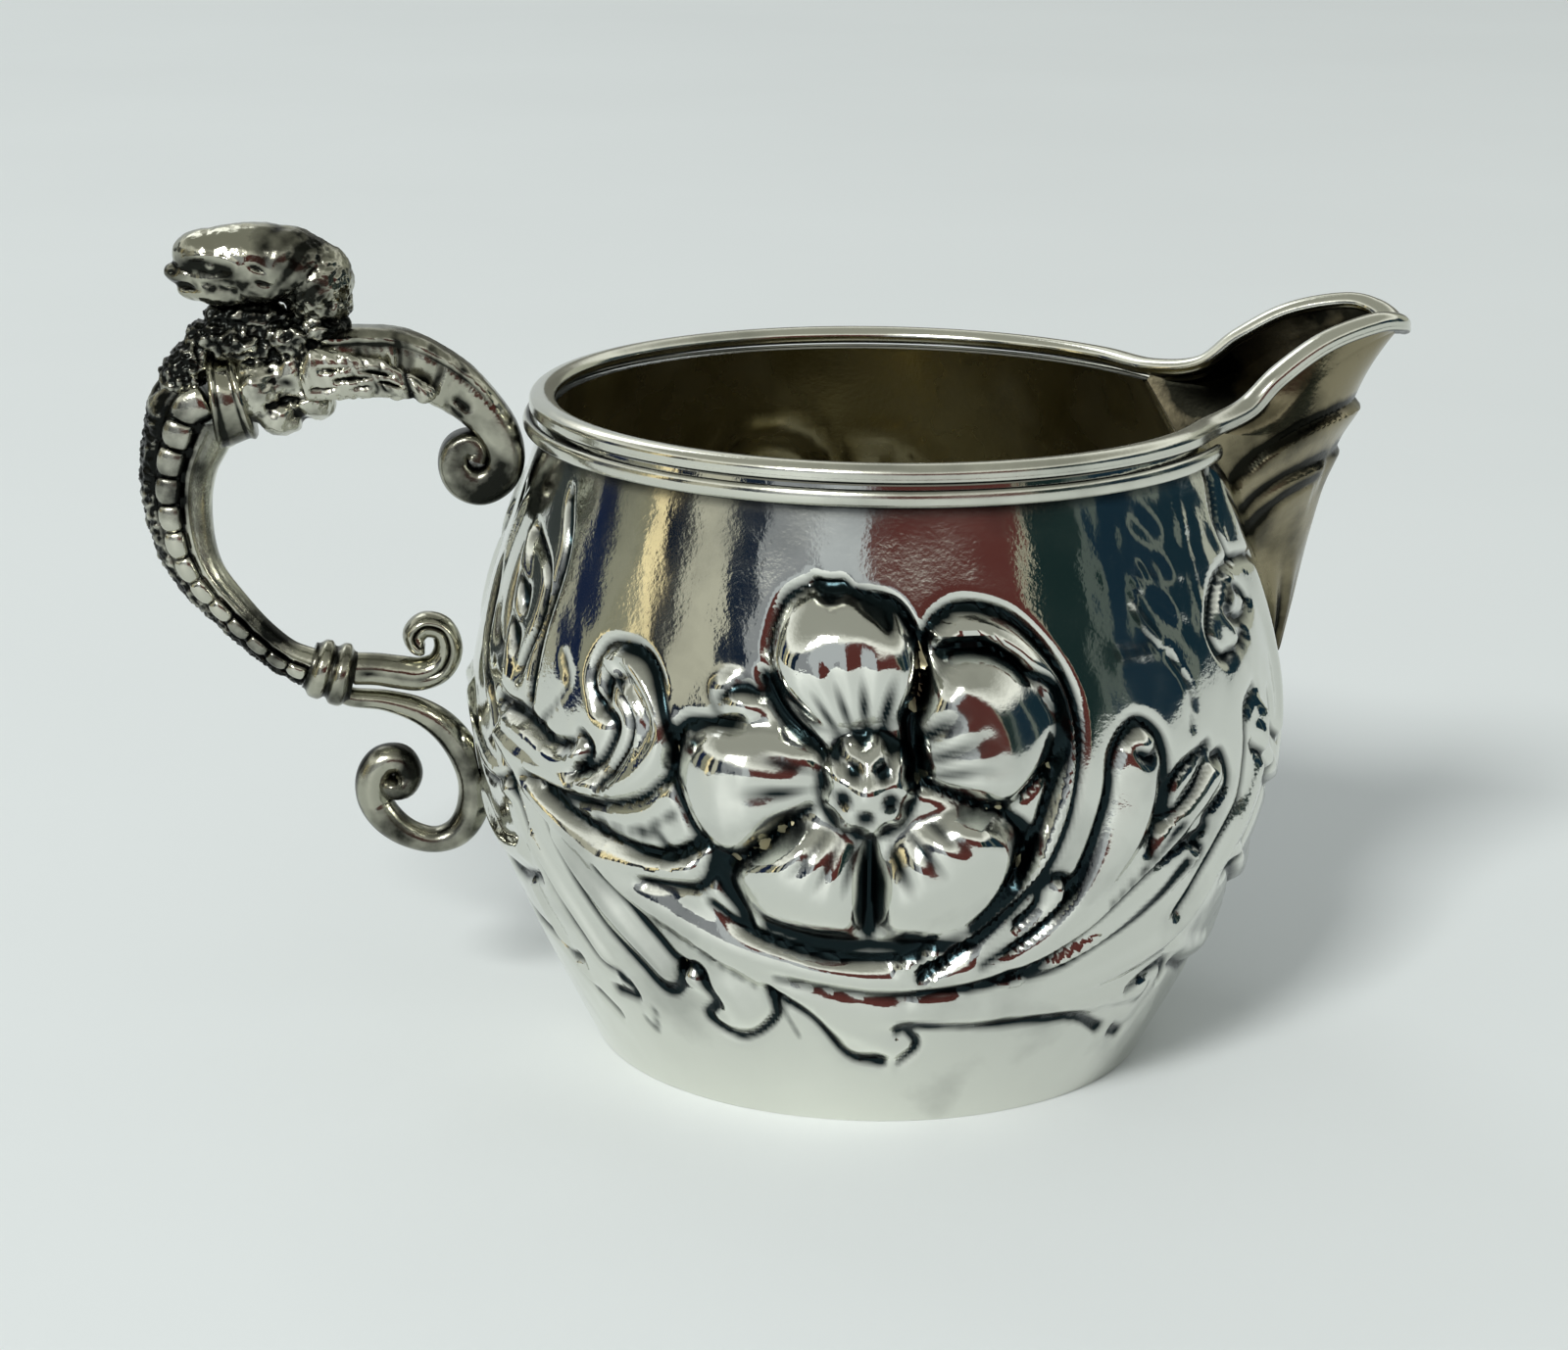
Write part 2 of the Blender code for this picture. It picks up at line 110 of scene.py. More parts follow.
def colour_ramp(tree, value, stops, steps="LINEAR"):
    """The colour of a ramp with the given (position, colour) stops."""
    colour = added(tree, "ValToRGB", "Color", {"Fac": value})
    colour.node.color_ramp.interpolation = steps
    elements = colour.node.color_ramp.elements
    elements.remove(elements[1])
    elements[0].position = stops[0][0]
    elements[0].color = (*stops[0][1], 1)
    for position, shade in stops[1:]:
        elements.new(position).color = (*shade, 1)
    return colour


paper = paint.node_tree.nodes["Principled BSDF"]
paper.inputs["Roughness"].default_value = 0.55
paper.inputs["Specular IOR Level"].default_value = 0.25
place = added(paint.node_tree, "TexCoord", "Object")
mottle = added(paint.node_tree, "TexNoise", "Fac", {"Vector": place, "Scale": 6.0, "Detail": 6.0})
shade = colour_ramp(paint.node_tree, mottle,
                    ((0.3, [0.97 * c for c in FLOOR_COLOUR]), (0.7, FLOOR_COLOUR)))
paint.node_tree.links.new(shade, paper.inputs["Base Color"])
floor.data.materials.append(paint)
floor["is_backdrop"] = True


def soft_lamp(name, place, size, power, colour):
    """A square lamp that looks at the jug."""
    lamp = bpy.data.objects.new(name, bpy.data.lights.new(name, "AREA"))
    bpy.context.scene.collection.objects.link(lamp)
    lamp.data.size = size
    lamp.data.energy = power
    lamp.data.color = colour
    lamp.location = place
    lamp.rotation_euler = (Vector((0, 0, 0.03)) - Vector(place)).to_track_quat("-Z", "Y").to_euler()


soft_lamp("key_lamp", (-1.9, -3.3, 3.0), 1.1, 172.0, (1.0, 1.0, 0.98))
soft_lamp("back_lamp", (-0.9, 1.9, 2.0), 1.0, 6.0, (0.95, 0.98, 1.0))

ROOM_PALE = (0.455, 0.475, 0.47)   # what lights the table
ROOM_PATCHES = (                 # compass degrees from +X where a patch starts, and its colour
    (-180, (0.30, 0.30, 0.22)), (-173, (1.3, 1.1, 0.65)), (-168, (0.01, 0.016, 0.03)),
    (-160, (0.62, 0.61, 0.50)), (-146, (0.01, 0.02, 0.042)), (-133, (0.33, 0.35, 0.38)),
    (-118, (0.58, 0.62, 0.66)), (-100, (0.13, 0.04, 0.035)), (-52, (0.42, 0.41, 0.32)),
    (-48, (0.012, 0.03, 0.03)), (-32, (0.10, 0.13, 0.12)), (-25, (0.01, 0.03, 0.05)),
    (-4, (0.16, 0.19, 0.17)), (4, (0.01, 0.03, 0.045)), (26, (0.50, 0.52, 0.44)),
    (60, (0.20, 0.20, 0.17)), (85, (0.62, 0.66, 0.66)), (135, (0.05, 0.06, 0.06)),
    (150, (0.45, 0.45, 0.36)), (160, (0.01, 0.02, 0.06)), (172, (0.34, 0.34, 0.26)))
BAND_TOP, BAND_FADE = 0.52, 0.14   # sine of the height where the patches end, and how softly
OVERHEAD = ((0.5, (1.25, 1.27, 1.2)), (0.75, (0.42, 0.43, 0.38)))   # sine of the height, colour
ROOM_GLOW = 0.9

world = bpy.data.worlds.new("pale_room")
bpy.context.scene.world = world
world.use_nodes = True
sky = world.node_tree
sky.nodes.clear()
ray = added(sky, "TexCoord", "Generated")
waver = added(sky, "TexNoise", "Fac", {"Vector": ray, "Scale": 2.5, "Detail": 3.0})
parts = added(sky, "SeparateXYZ", "X", {"Vector": ray}).node
compass = maths(sky, "ARCTAN2", parts.outputs["Y"], parts.outputs["X"])
compass = maths(sky, "MULTIPLY_ADD", compass, 0.5 / math.pi, 0.5)
compass = maths(sky, "ADD", compass, maths(sky, "MULTIPLY_ADD", waver, 0.03, -0.015))
patches = colour_ramp(sky, compass, [(degrees / 360 + 0.5, colour) for degrees, colour in ROOM_PATCHES],
                      steps="CONSTANT")
height = maths(sky, "ADD", parts.outputs["Z"], maths(sky, "MULTIPLY_ADD", waver, 0.2, -0.1))
fade = added(sky, "MapRange", "Result",
             {"Value": height, "From Min": BAND_TOP - BAND_FADE, "From Max": BAND_TOP},
             interpolation_type="SMOOTHSTEP")
room = added(sky, "Mix", "Result", {"Factor": fade, "A": patches, "B": colour_ramp(sky, height, OVERHEAD)},
             data_type="RGBA")
mirrored = added(sky, "LightPath", "Is Glossy Ray")
seen = added(sky, "Mix", "Result", {"Factor": mirrored, "A": ROOM_PALE, "B": room}, data_type="RGBA")
glow = added(sky, "Background", "Background", {"Color": seen, "Strength": ROOM_GLOW})
sky.links.new(glow, sky.nodes.new("ShaderNodeOutputWorld").inputs["Surface"])

# --- body sheet -------------------------------------------------------------------------------
# One raised sheet of silver with flowers and scrolls chased up from inside and lined from outside,
# polished on the high parts and dark with old tarnish in the lines, with painted dark reflections in
# the petals, a painted shade line under the rim bead and a painted darker upper band. Its inside is
# a gilt tone darkened with painted shade. Soldered to a base disc.

BASE_RADIUS, BELLY_RADIUS, NECK_RADIUS = 26.0, 37.5, 30.6
BELLY_HEIGHT = 32.0
WALL_FOOT, WALL_TOP = (1000 * corner[2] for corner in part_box("body_shell"))
WALL = 0.9
NOTCH_FOOT, NOTCH_ANGLE, NOTCH_CURVE = 34.2, 26.0, 1.2   # foot, half angle at the top, and bend
BODY_COLUMNS = 720
COARSE = 4                       # outside spans to one inside span
HEM = 0.05                       # height of the wall's lower edge over the table
ROW_BANDS = ((HEM, 5.0, 7), (5.0, 52.0, 110), (52.0, WALL_TOP, 14))   # from, to, rows of points


def wall_radius(z):
    """Radius of the plain wall: two cubic arcs that meet upright at the belly."""
    top = WALL_TOP + 0.3
    t = z / BELLY_HEIGHT
    low = (BASE_RADIUS + (BELLY_RADIUS - BASE_RADIUS) * (3 * t ** 2 - 2 * t ** 3)
           + 0.5 * BELLY_HEIGHT * (t ** 3 - 2 * t ** 2 + t))
    t = (z - BELLY_HEIGHT) / (top - BELLY_HEIGHT)
    high = (BELLY_RADIUS + (NECK_RADIUS - BELLY_RADIUS) * (3 * t ** 2 - 2 * t ** 3)
            - 0.25 * (top - BELLY_HEIGHT) * (t ** 3 - t ** 2))
    return np.where(z < BELLY_HEIGHT, low, high)


def smooth_line(points, steps=6, closed=False):
    """Points of a smooth curve through the given ones, as rows of an array."""
    points = np.array(points, float)
    if closed:
        ends = np.vstack([points[-1:], points, points[:2]])
    else:
        ends = np.vstack([2 * points[0] - points[1], points, 2 * points[-1] - points[-2]])
    t = (np.arange(steps) / steps)[:, None]
    spans = [0.5 * (2 * b + (c - a) * t + (2 * a - 5 * b + 4 * c - d) * t ** 2
                    + (3 * b - a - 3 * c + d) * t ** 3)
             for a, b, c, d in zip(ends, ends[1:], ends[2:], ends[3:])]
    return np.vstack(spans + [points[:1] if closed else points[-1:]])


def soft_line(value, middle, width):
    """1 on a line, and nearly 0 two widths away from it."""
    return np.exp(-((value - middle) / width) ** 2)


def climbs(value, start, run):
    """0 up to a start, and 1 past the end of a run."""
    return np.clip((value - start) / run, 0, 1)


def falls(value, end, run):
    """1 up to the start of a run, and 0 past its end."""
    return np.clip((end - value) / run, 0, 1)


def darkest(*marks):
    """The deepest of several marks at every place."""
    return np.maximum.reduce(np.broadcast_arrays(*marks))


def nearness(x, z, line, sizes):
    """Distance to a line, first over its half width there (1 on its edge) and then past its edge."""
    best, past = np.full(x.shape, 99.0), np.full(x.shape, 99.0)
    size = np.interp(np.linspace(0, 1, len(line)), np.linspace(0, 1, len(sizes)), sizes)
    for a, b, wide_a, wide_b in zip(line, line[1:], size, size[1:]):
        dx, dz = b - a
        t = np.clip(((x - a[0]) * dx + (z - a[1]) * dz) / (dx * dx + dz * dz + 1e-9), 0, 1)
        gap = np.hypot(x - a[0] - t * dx, z - a[1] - t * dz)
        wide = wide_a + t * (wide_b - wide_a)
        best, past = np.minimum(best, gap / wide), np.minimum(past, gap - wide)
    return best, past


def within(x, z, outline):
    """True where a place lies inside a closed outline."""
    inside = np.zeros(x.shape, bool)
    for a, b in zip(outline, outline[1:]):
        crosses = (a[1] > z) != (b[1] > z)
        with np.errstate(divide="ignore", invalid="ignore"):
            side = x < (b[0] - a[0]) * (z - a[1]) / (b[1] - a[1]) + a[0]
        inside ^= crosses & side
    return inside


# Places on the body are (along the belly from the middle of a side, height), in millimetres, with
# the handle at the low end and the spout at the high end.
FLOWER = (-5.0, 35.0)
PETALS = (                       # outline, lift, and how far from the flower's middle the crest runs
    (((-9, 39.5), (-13.5, 43.5), (-13.7, 48), (-10, 51), (-4.5, 50), (-1, 47), (-0.8, 43), (-3.5, 39.8)),
     3.0, 11.5),
    (((-0.6, 38), (0, 43), (3, 45.7), (8, 44.5), (11.4, 39.5), (9, 34.5), (5.5, 33), (0.5, 35)),
     2.8, 10.8),
    (((-1.5, 31.5), (4, 32.5), (8, 29), (6.5, 23.5), (2.5, 20.7), (-3.2, 21.3), (-3.8, 27)),
     3.0, 9.2),
    (((-5.6, 29.5), (-5.5, 22), (-9, 20.8), (-14, 22), (-16.4, 26), (-13, 29.5), (-9, 31.5)),
     3.0, 9.2),
    (((-9, 37.5), (-12, 39), (-19, 39), (-21.7, 35), (-20, 30), (-16.5, 28), (-12, 31.2), (-9.3, 33)),
     2.9, 11.2),
    (((-19.5, 42.3), (-17, 43.8), (-14.2, 41.5), (-15, 39.6), (-18.2, 40)), 1.3, 14.0),
)
RIBS = (                         # centre line, half widths, lift
    (((1, 47.4), (6, 47.2), (11, 43), (12.4, 36), (9.7, 27), (3, 20.5), (-1.5, 17.8)),
     (0.6, 1, 1, 0.9, 0.8), 1.1),
    (((20, 36), (19.5, 31), (16.5, 25), (8.5, 18), (-5, 16.3), (-20, 19.6), (-34, 26.6), (-45, 33)),
     (1.9, 2, 2, 1.7, 1.3, 1.5, 1.8, 1.4, 1), 1.1),
    (((12.5, 24.5), (11.5, 22), (5, 17.7), (-0.7, 16.4)), (0.8, 0.8, 0.5), 0.8),
    (((29.3, 32), (23, 27), (15, 20), (9.6, 17.4)), (1.4, 1.5, 1.2, 0.9), 0.9),
    (((29.2, 25), (21.8, 20.2), (12, 16.4), (5, 14.8)), (0.7, 0.9, 0.8, 0.6), 0.8),
    (((33, 20.7), (28.5, 16.5), (14, 13.3), (-4, 12.3), (-18, 17.9), (-32, 24.3)),
     (0.8, 1.3, 1.3, 1.7, 1.6, 0.8), 0.8),
    (((39.5, 35.5), (38.7, 31.5), (35.3, 24.3), (32.6, 21)), (0.7, 0.95, 0.8, 0.5), 0.9),
    (((-30.5, 42.8), (-28, 43.3), (-24.2, 40), (-23.7, 36.5), (-28.5, 32), (-39, 31.8), (-44.5, 33)),
     (0.6, 0.8, 1.1, 1.2, 1.2, 1.2, 1.1), 1.1),
    (((-29.8, 42), (-26, 39), (-26, 36), (-27.6, 33.3)), (0.5, 0.7, 0.6), 0.9),
    (((-44, 34.6), (-39, 33.7), (-35, 33), (-32.5, 34)), (0.7, 0.9, 1.0, 0.8), 0.9),
    (((-36, 26), (-32.5, 21.8), (-25.7, 14.6)), (0.8, 1.3, 1.0), 0.9),
    (((-40.7, 24.8), (-38, 20.6), (-32.6, 12)), (0.5, 0.9, 0.6), 0.8),
    (((-44.6, 18.7), (-42.5, 13.8), (-39.7, 9.2)), (0.6, 0.7, 0.4), 0.5),
    (((-31.7, 25.5), (-26, 25), (-21, 25.8)), (0.8, 1.1, 1.2), 0.9),
    (((-23, 14.3), (-19, 13.5), (-17.6, 11.6)), (0.8, 1.8, 2.0), 0.7),
    (((-12.8, 15.5), (-8, 12), (-2, 8.8)), (1.1, 1.8, 1.1), 0.7),
    (((0.5, 13.4), (11, 12.4), (28, 11)), (1.3, 1.2, 1.3), 0.6),
    (((38.2, 47), (35, 45), (35.3, 42.6)), (0.9, 1.3, 0.9), 0.7),
    (((44.6, 57.5), (43.4, 53), (44.5, 48), (46.5, 42), (46.8, 36), (45, 29)),
     (3.0, 2.8, 2.6, 1.6, 1.1, 0.6), 0.55),
    (((-48.4, 50), (-46.5, 46.5), (-45.7, 42.4), (-45, 38)), (0.8, 1.2, 1.2, 0.9), 0.6),
    (((-53, 52), (-54.5, 46), (-52.5, 40), (-49, 36)), (0.8, 1.3, 1.3, 0.9), 0.5),
    (((38, 34), (44, 29), (50, 27), (56, 31)), (0.5, 1.0, 1.1, 0.8), 0.6),
    (((36, 24), (43, 19), (51, 18), (57, 21)), (0.6, 1.2, 1.2, 0.8), 0.7),
    (((31, 15), (38, 12.5), (46, 12), (54, 14)), (0.8, 1.2, 1.2, 0.7), 0.6),
    (((-44, 28), (-50, 30), (-56, 34)), (1.0, 1.1, 0.8), 0.7),
    (((-44, 22), (-50, 21), (-57, 24)), (0.9, 1.2, 0.8), 0.7),
)
LINES = (                        # centre line and full widths of the chased lines
    (((-0.2, 47), (1, 48.4), (4, 49.3), (9, 47.6), (13.3, 42), (13.4, 35), (11, 27), (6, 21),
      (0.2, 17)), (0.3, 0.8, 0.8, 0.5, 0.6, 0.8, 0.8)),
    (((1, 45.8), (5, 46.2), (8.3, 44.8)), (0.6, 0.7, 0.4)),
    (((8.3, 44.2), (11.5, 42.5), (12.1, 38), (11, 34.5), (8.3, 25.5)), (0.4, 0.9, 0.5, 0.4)),
    (((6.4, 32.6), (8.8, 30), (7.5, 25), (4.7, 21.7)), (0.4, 1.2, 1.1, 0.7)),
    (((8.1, 33.8), (11, 36.2), (11.5, 38)), (0.5, 0.5, 0.2)),
    (((-0.8, 35.3), (3, 33.7), (6.4, 32.5)), (0.6, 0.6, 0.5)),
    (((-0.2, 46.8), (-0.6, 42.3), (-1.5, 40), (-0.6, 35.3)), (0.6, 0.8, 1.1, 1.0)),
    (((-4.7, 29.8), (-4.7, 26), (-4.7, 21.5)), (0.8, 1.2, 1.1)),
    (((-14, 21.4), (-8.8, 20.2), (-2.3, 20), (4.5, 19.9)), (0.6, 0.9, 0.5, 0.4)),
    (((-19.2, 23), (-16, 20.8), (-11.5, 19.3), (-6, 18.6), (0, 18.9)), (0.4, 0.8, 0.9, 0.5)),
    (((-17, 27.3), (-17.7, 25.4), (-15.7, 21.6)), (1.3, 1.6, 0.7)),
    (((-19.3, 28.6), (-16.3, 27.4), (-13, 30), (-9.9, 32.8)), (0.3, 0.5, 0.5, 0.6)),
    (((-20, 29.6), (-22.2, 34), (-22.2, 37), (-21, 38.8), (-16.1, 39.3)), (0.4, 0.3, 0.3, 0.6, 0.4)),
    (((-18.2, 41.2), (-16.5, 42.4), (-14.5, 41.7)), (0.4, 0.7, 0.3)),
    (((-14.5, 43.5), (-12.5, 40.4), (-9, 37.7)), (0.8, 1.1, 0.7)),
    (((-10.4, 51.1), (-13.2, 49.5), (-14.2, 46), (-14, 44.5)), (0.3, 0.5, 0.4, 0.3)),
    (((-10, 50.9), (-8.8, 50.5), (-7.6, 50.9)), (0.7, 1.4, 0.7)),
    (((-7, 50.4), (-2.7, 49.5), (-0.6, 46), (-0.5, 43), (-1.3, 41.7)), (0.2, 0.5, 0.5, 0.6, 0.5)),
    (((-5.7, 49.7), (-4, 49), (-3.4, 48.1)), (0.4, 1.0, 0.6)),
    (((5.7, 17.7), (13, 23), (16.3, 31.5), (17.2, 36.2), (20, 38.5), (22.8, 36.2), (22.7, 31),
      (21.3, 26.5)), (0.2, 0.5, 0.6, 0.5, 0.7, 0.6, 0.4, 0.2)),
    (((19.3, 36.1), (20.5, 35.5), (21.7, 36)), (0.3, 0.6, 0.3)),
    (((10.4, 24.4), (12, 25.9), (13.5, 24.7), (12, 21.5), (8.3, 18.9)), (0.3, 0.4, 0.3, 0.2)),
    (((8.8, 21.6), (10.3, 23), (10.8, 24.2)), (0.6, 0.5, 0.2)),
    (((22.9, 29.3), (24.2, 33), (29.1, 35)), (0.6, 0.6, 0.4)),
    (((22.7, 29), (26, 31.2), (28.3, 33.5)), (0.2, 0.25, 0.2)),
    (((29.5, 33.4), (31.2, 33.5), (32.3, 30.5), (29, 28)), (0.6, 0.6, 0.3, 0.4)),
    (((29.7, 27), (22.7, 24.7), (16, 19.6), (9, 16.1), (-2.4, 14.7), (-13.6, 16.1)),
     (0.6, 0.5, 0.3, 0.6, 0.3, 0.2)),
    (((27.6, 24.3), (22.4, 20.3), (15.7, 16.6), (11, 15.9)), (0.4, 0.6, 0.5, 0.4)),
    (((28.2, 25.9), (29.8, 24.6), (28.8, 23.6)), (0.25, 0.4, 0.2)),
    (((39, 37.8), (36.2, 36.3), (35.7, 32), (35, 28), (32.3, 24.8), (28.6, 18.9)),
     (0.3, 0.6, 0.4, 0.5, 0.5, 0.5)),
    (((42.8, 36.2), (43.4, 31), (41.5, 25), (36.9, 20.4)), (0.25, 0.2, 0.25, 0.3)),
    (((46, 48), (40, 48.7), (34.5, 47.6), (31.6, 44.2), (33, 41.6), (36, 42), (38.6, 42.6)),
     (0.3, 0.4, 0.5, 0.5, 0.4, 0.3)),
    (((34.8, 45.3), (38, 46.8), (41.5, 45), (38.6, 43.8), (34.8, 45)), (0.4, 0.4, 0.4, 0.5)),
    (((-23.8, 15.8), (-21.8, 15.5), (-20.6, 12.3), (-22.2, 10.3), (-18.3, 8.7), (-14.3, 11.5),
      (-14.5, 14.4)), (0.4, 0.6, 0.7, 0.4, 0.5, 0.8, 0.7)),
    (((-14.5, 14.5), (-10.3, 11.9), (-7, 7.9), (-2.9, 7)), (0.8, 0.45, 0.5, 0.8)),
    (((-1.6, 10.5), (-0.8, 11.4), (7, 10.8), (18, 10.2), (24.2, 7.6)), (0.6, 0.5, 0.3, 0.5, 0.7)),
    (((-0.6, 10.7), (0.7, 9), (-1.3, 6.8)), (0.6, 0.6, 0.2)),
    (((26.9, 6.7), (29.2, 5.9)), (0.6, 0.5)),
    (((25, 11.6), (30.5, 13.2), (32.2, 11.1)), (0.25, 0.5, 0.25)),
    (((-30.8, 38.6), (-32.3, 41), (-30.5, 43.9), (-25.6, 43.2), (-22.4, 37), (-23, 33.3)),
     (0.5, 0.35, 0.35, 0.4, 0.35)),
    (((-30, 39.6), (-30.2, 41), (-28, 41.3)), (0.6, 0.6, 0.3)),
    (((-30.8, 38.6), (-28.6, 37.4), (-30, 34), (-33, 32.2)), (0.6, 0.6, 0.6, 0.4)),
    (((-28.6, 40.6), (-26.6, 38), (-27.3, 35), (-29.6, 32)), (0.25, 0.5, 0.45, 0.6)),
    (((-40, 30.6), (-32.2, 30), (-26, 31.3), (-23.2, 33.6)), (0.25, 0.6, 0.5, 0.25)),
    (((-46.3, 35.7), (-41, 35.8), (-36.2, 34.4), (-33.5, 34.9)), (0.7, 0.6, 0.5, 0.6)),
    (((-32.9, 36), (-31.3, 34.8), (-32.4, 32.8)), (0.5, 0.55, 0.3)),
    (((-37.4, 29.8), (-29, 27.4), (-23, 26.8), (-19.1, 28.8)), (0.3, 0.5, 0.8, 0.9)),
    (((-18.3, 27.5), (-20, 24.3), (-25.8, 24)), (0.5, 0.6, 0.3)),
    (((-48.7, 36), (-44, 29.6), (-40.6, 22), (-36.5, 14), (-33, 12.7), (-31.7, 10.6)),
     (0.35, 0.5, 0.4, 0.55, 0.4, 0.3)),
    (((-38.7, 27.6), (-33.8, 19.1), (-29.5, 14.8), (-26.7, 12.4), (-24.4, 13.5), (-23.8, 15.8)),
     (0.2, 0.25, 0.5, 0.6, 0.4)),
    (((-31.1, 24), (-26.4, 19), (-23.8, 15.8)), (0.2, 0.4, 0.35)),
    (((-44.8, 12.8), (-41, 10), (-36.8, 7)), (0.2, 0.25, 0.25)),
    (((-35.3, 10.2), (-32, 10.3)), (0.5, 0.35)),
    (((-42.2, 54.4), (-40.1, 50), (-40.5, 43), (-40.4, 37)), (0.5, 0.6, 0.4, 0.4)),
    (((-56.5, 52), (-54.3, 46), (-51.5, 39), (-48.7, 36.1)), (0.35, 0.35, 0.35)),
    (((-47.4, 50.6), (-42.3, 48), (-41.6, 44), (-43, 39)), (0.4, 0.35, 0.4, 0.3)),
    (((-48.6, 49.4), (-48.8, 45), (-46.3, 39)), (0.25, 0.25, 0.25)),
    (((-46.6, 46.8), (-45.3, 45.6), (-44.7, 44.0)), (0.2, 0.5, 0.2)),
    (((-46.2, 43.4), (-45.0, 42.2), (-44.5, 40.6)), (0.2, 0.5, 0.2)),
    (((-51.3, 42.8), (-49.6, 40.5), (-46.7, 39.3)), (0.4, 0.4, 0.3)),
    (((39.7, 56.5), (38.5, 52), (39.9, 48.6)), (0.4, 0.35, 0.3)),
    (((37, 33), (44, 27.5), (50, 25.6), (57, 29.5)), (0.3, 0.5, 0.5, 0.3)),
    (((43.5, 33), (49, 29), (56, 33.5)), (0.3, 0.5, 0.3)),
    (((38, 21), (45, 16.8), (52, 16.3), (58, 19)), (0.4, 0.5, 0.5, 0.3)),
    (((33, 12.5), (42, 9.8), (54, 11.5), (58.9, 13)), (0.5, 0.6, 0.6, 0.5)),
    (((-41.5, 30), (-50, 27.5), (-58.9, 31)), (0.3, 0.6, 0.5)),
    (((-42, 20), (-50, 18.5), (-58.9, 21.5)), (0.4, 0.6, 0.5)),
    (((-40, 12), (-48, 13.5), (-58.9, 15)), (0.4, 0.6, 0.5)),
)
DOTS = (                         # rows of punched dots: line and count
    (((-36.3, 41.9), (-35, 40), (-36.5, 37.5), (-38, 35.9)), 9),
    (((-30.4, 28.6), (-26, 28.6), (-22.2, 30.7)), 11),
    (((-25.5, 28.3), (-23.8, 28.6), (-22.9, 27.6)), 6),
    (((-29.6, 9.2), (-30.6, 7), (-31.8, 7.8)), 5),
    (((-13.3, 12.5), (-12, 9.5)), 5),
    (((25.2, 43), (27, 40), (26.7, 36.9)), 8),
    (((-25, 20.1), (-20.5, 17.4), (-16, 14.8)), 10),
    (((18, 22.5), (23, 27), (25, 28.5)), 14),
)
BEADS = (                        # middles of small raised beads
    (25.1, 50.4), (23.2, 50.6), (22.4, 49.6), (21.9, 48.6), (21.6, 47.6), (22.1, 46.7),
    (22.9, 45.8), (23.6, 45), (19, 44.4), (20.2, 44.3), (21.3, 44.2), (22.5, 44.1))
LINE_HEM, LINE_SOFT, LINE_DEPTH = 0.09, 0.13, 0.95   # widening, softness of the edges, depth
BOSS_WIDTH, BOSS_HEIGHT, BOSS_LIFT = 3.9, 4.3, 3.6   # half width, half height and lift of its dome
BOSS_EDGE = 3.5                  # how far from the flower's middle the petals start to climb
BOSS_PITS = ((0.50, 5, 1.2, 0.9), (0.93, 9, 1.0, 0.3))   # share of the boss, count, size, first angle
INSIDE_SOFTENING = 5             # rounds of smoothing that the inside's relief has had


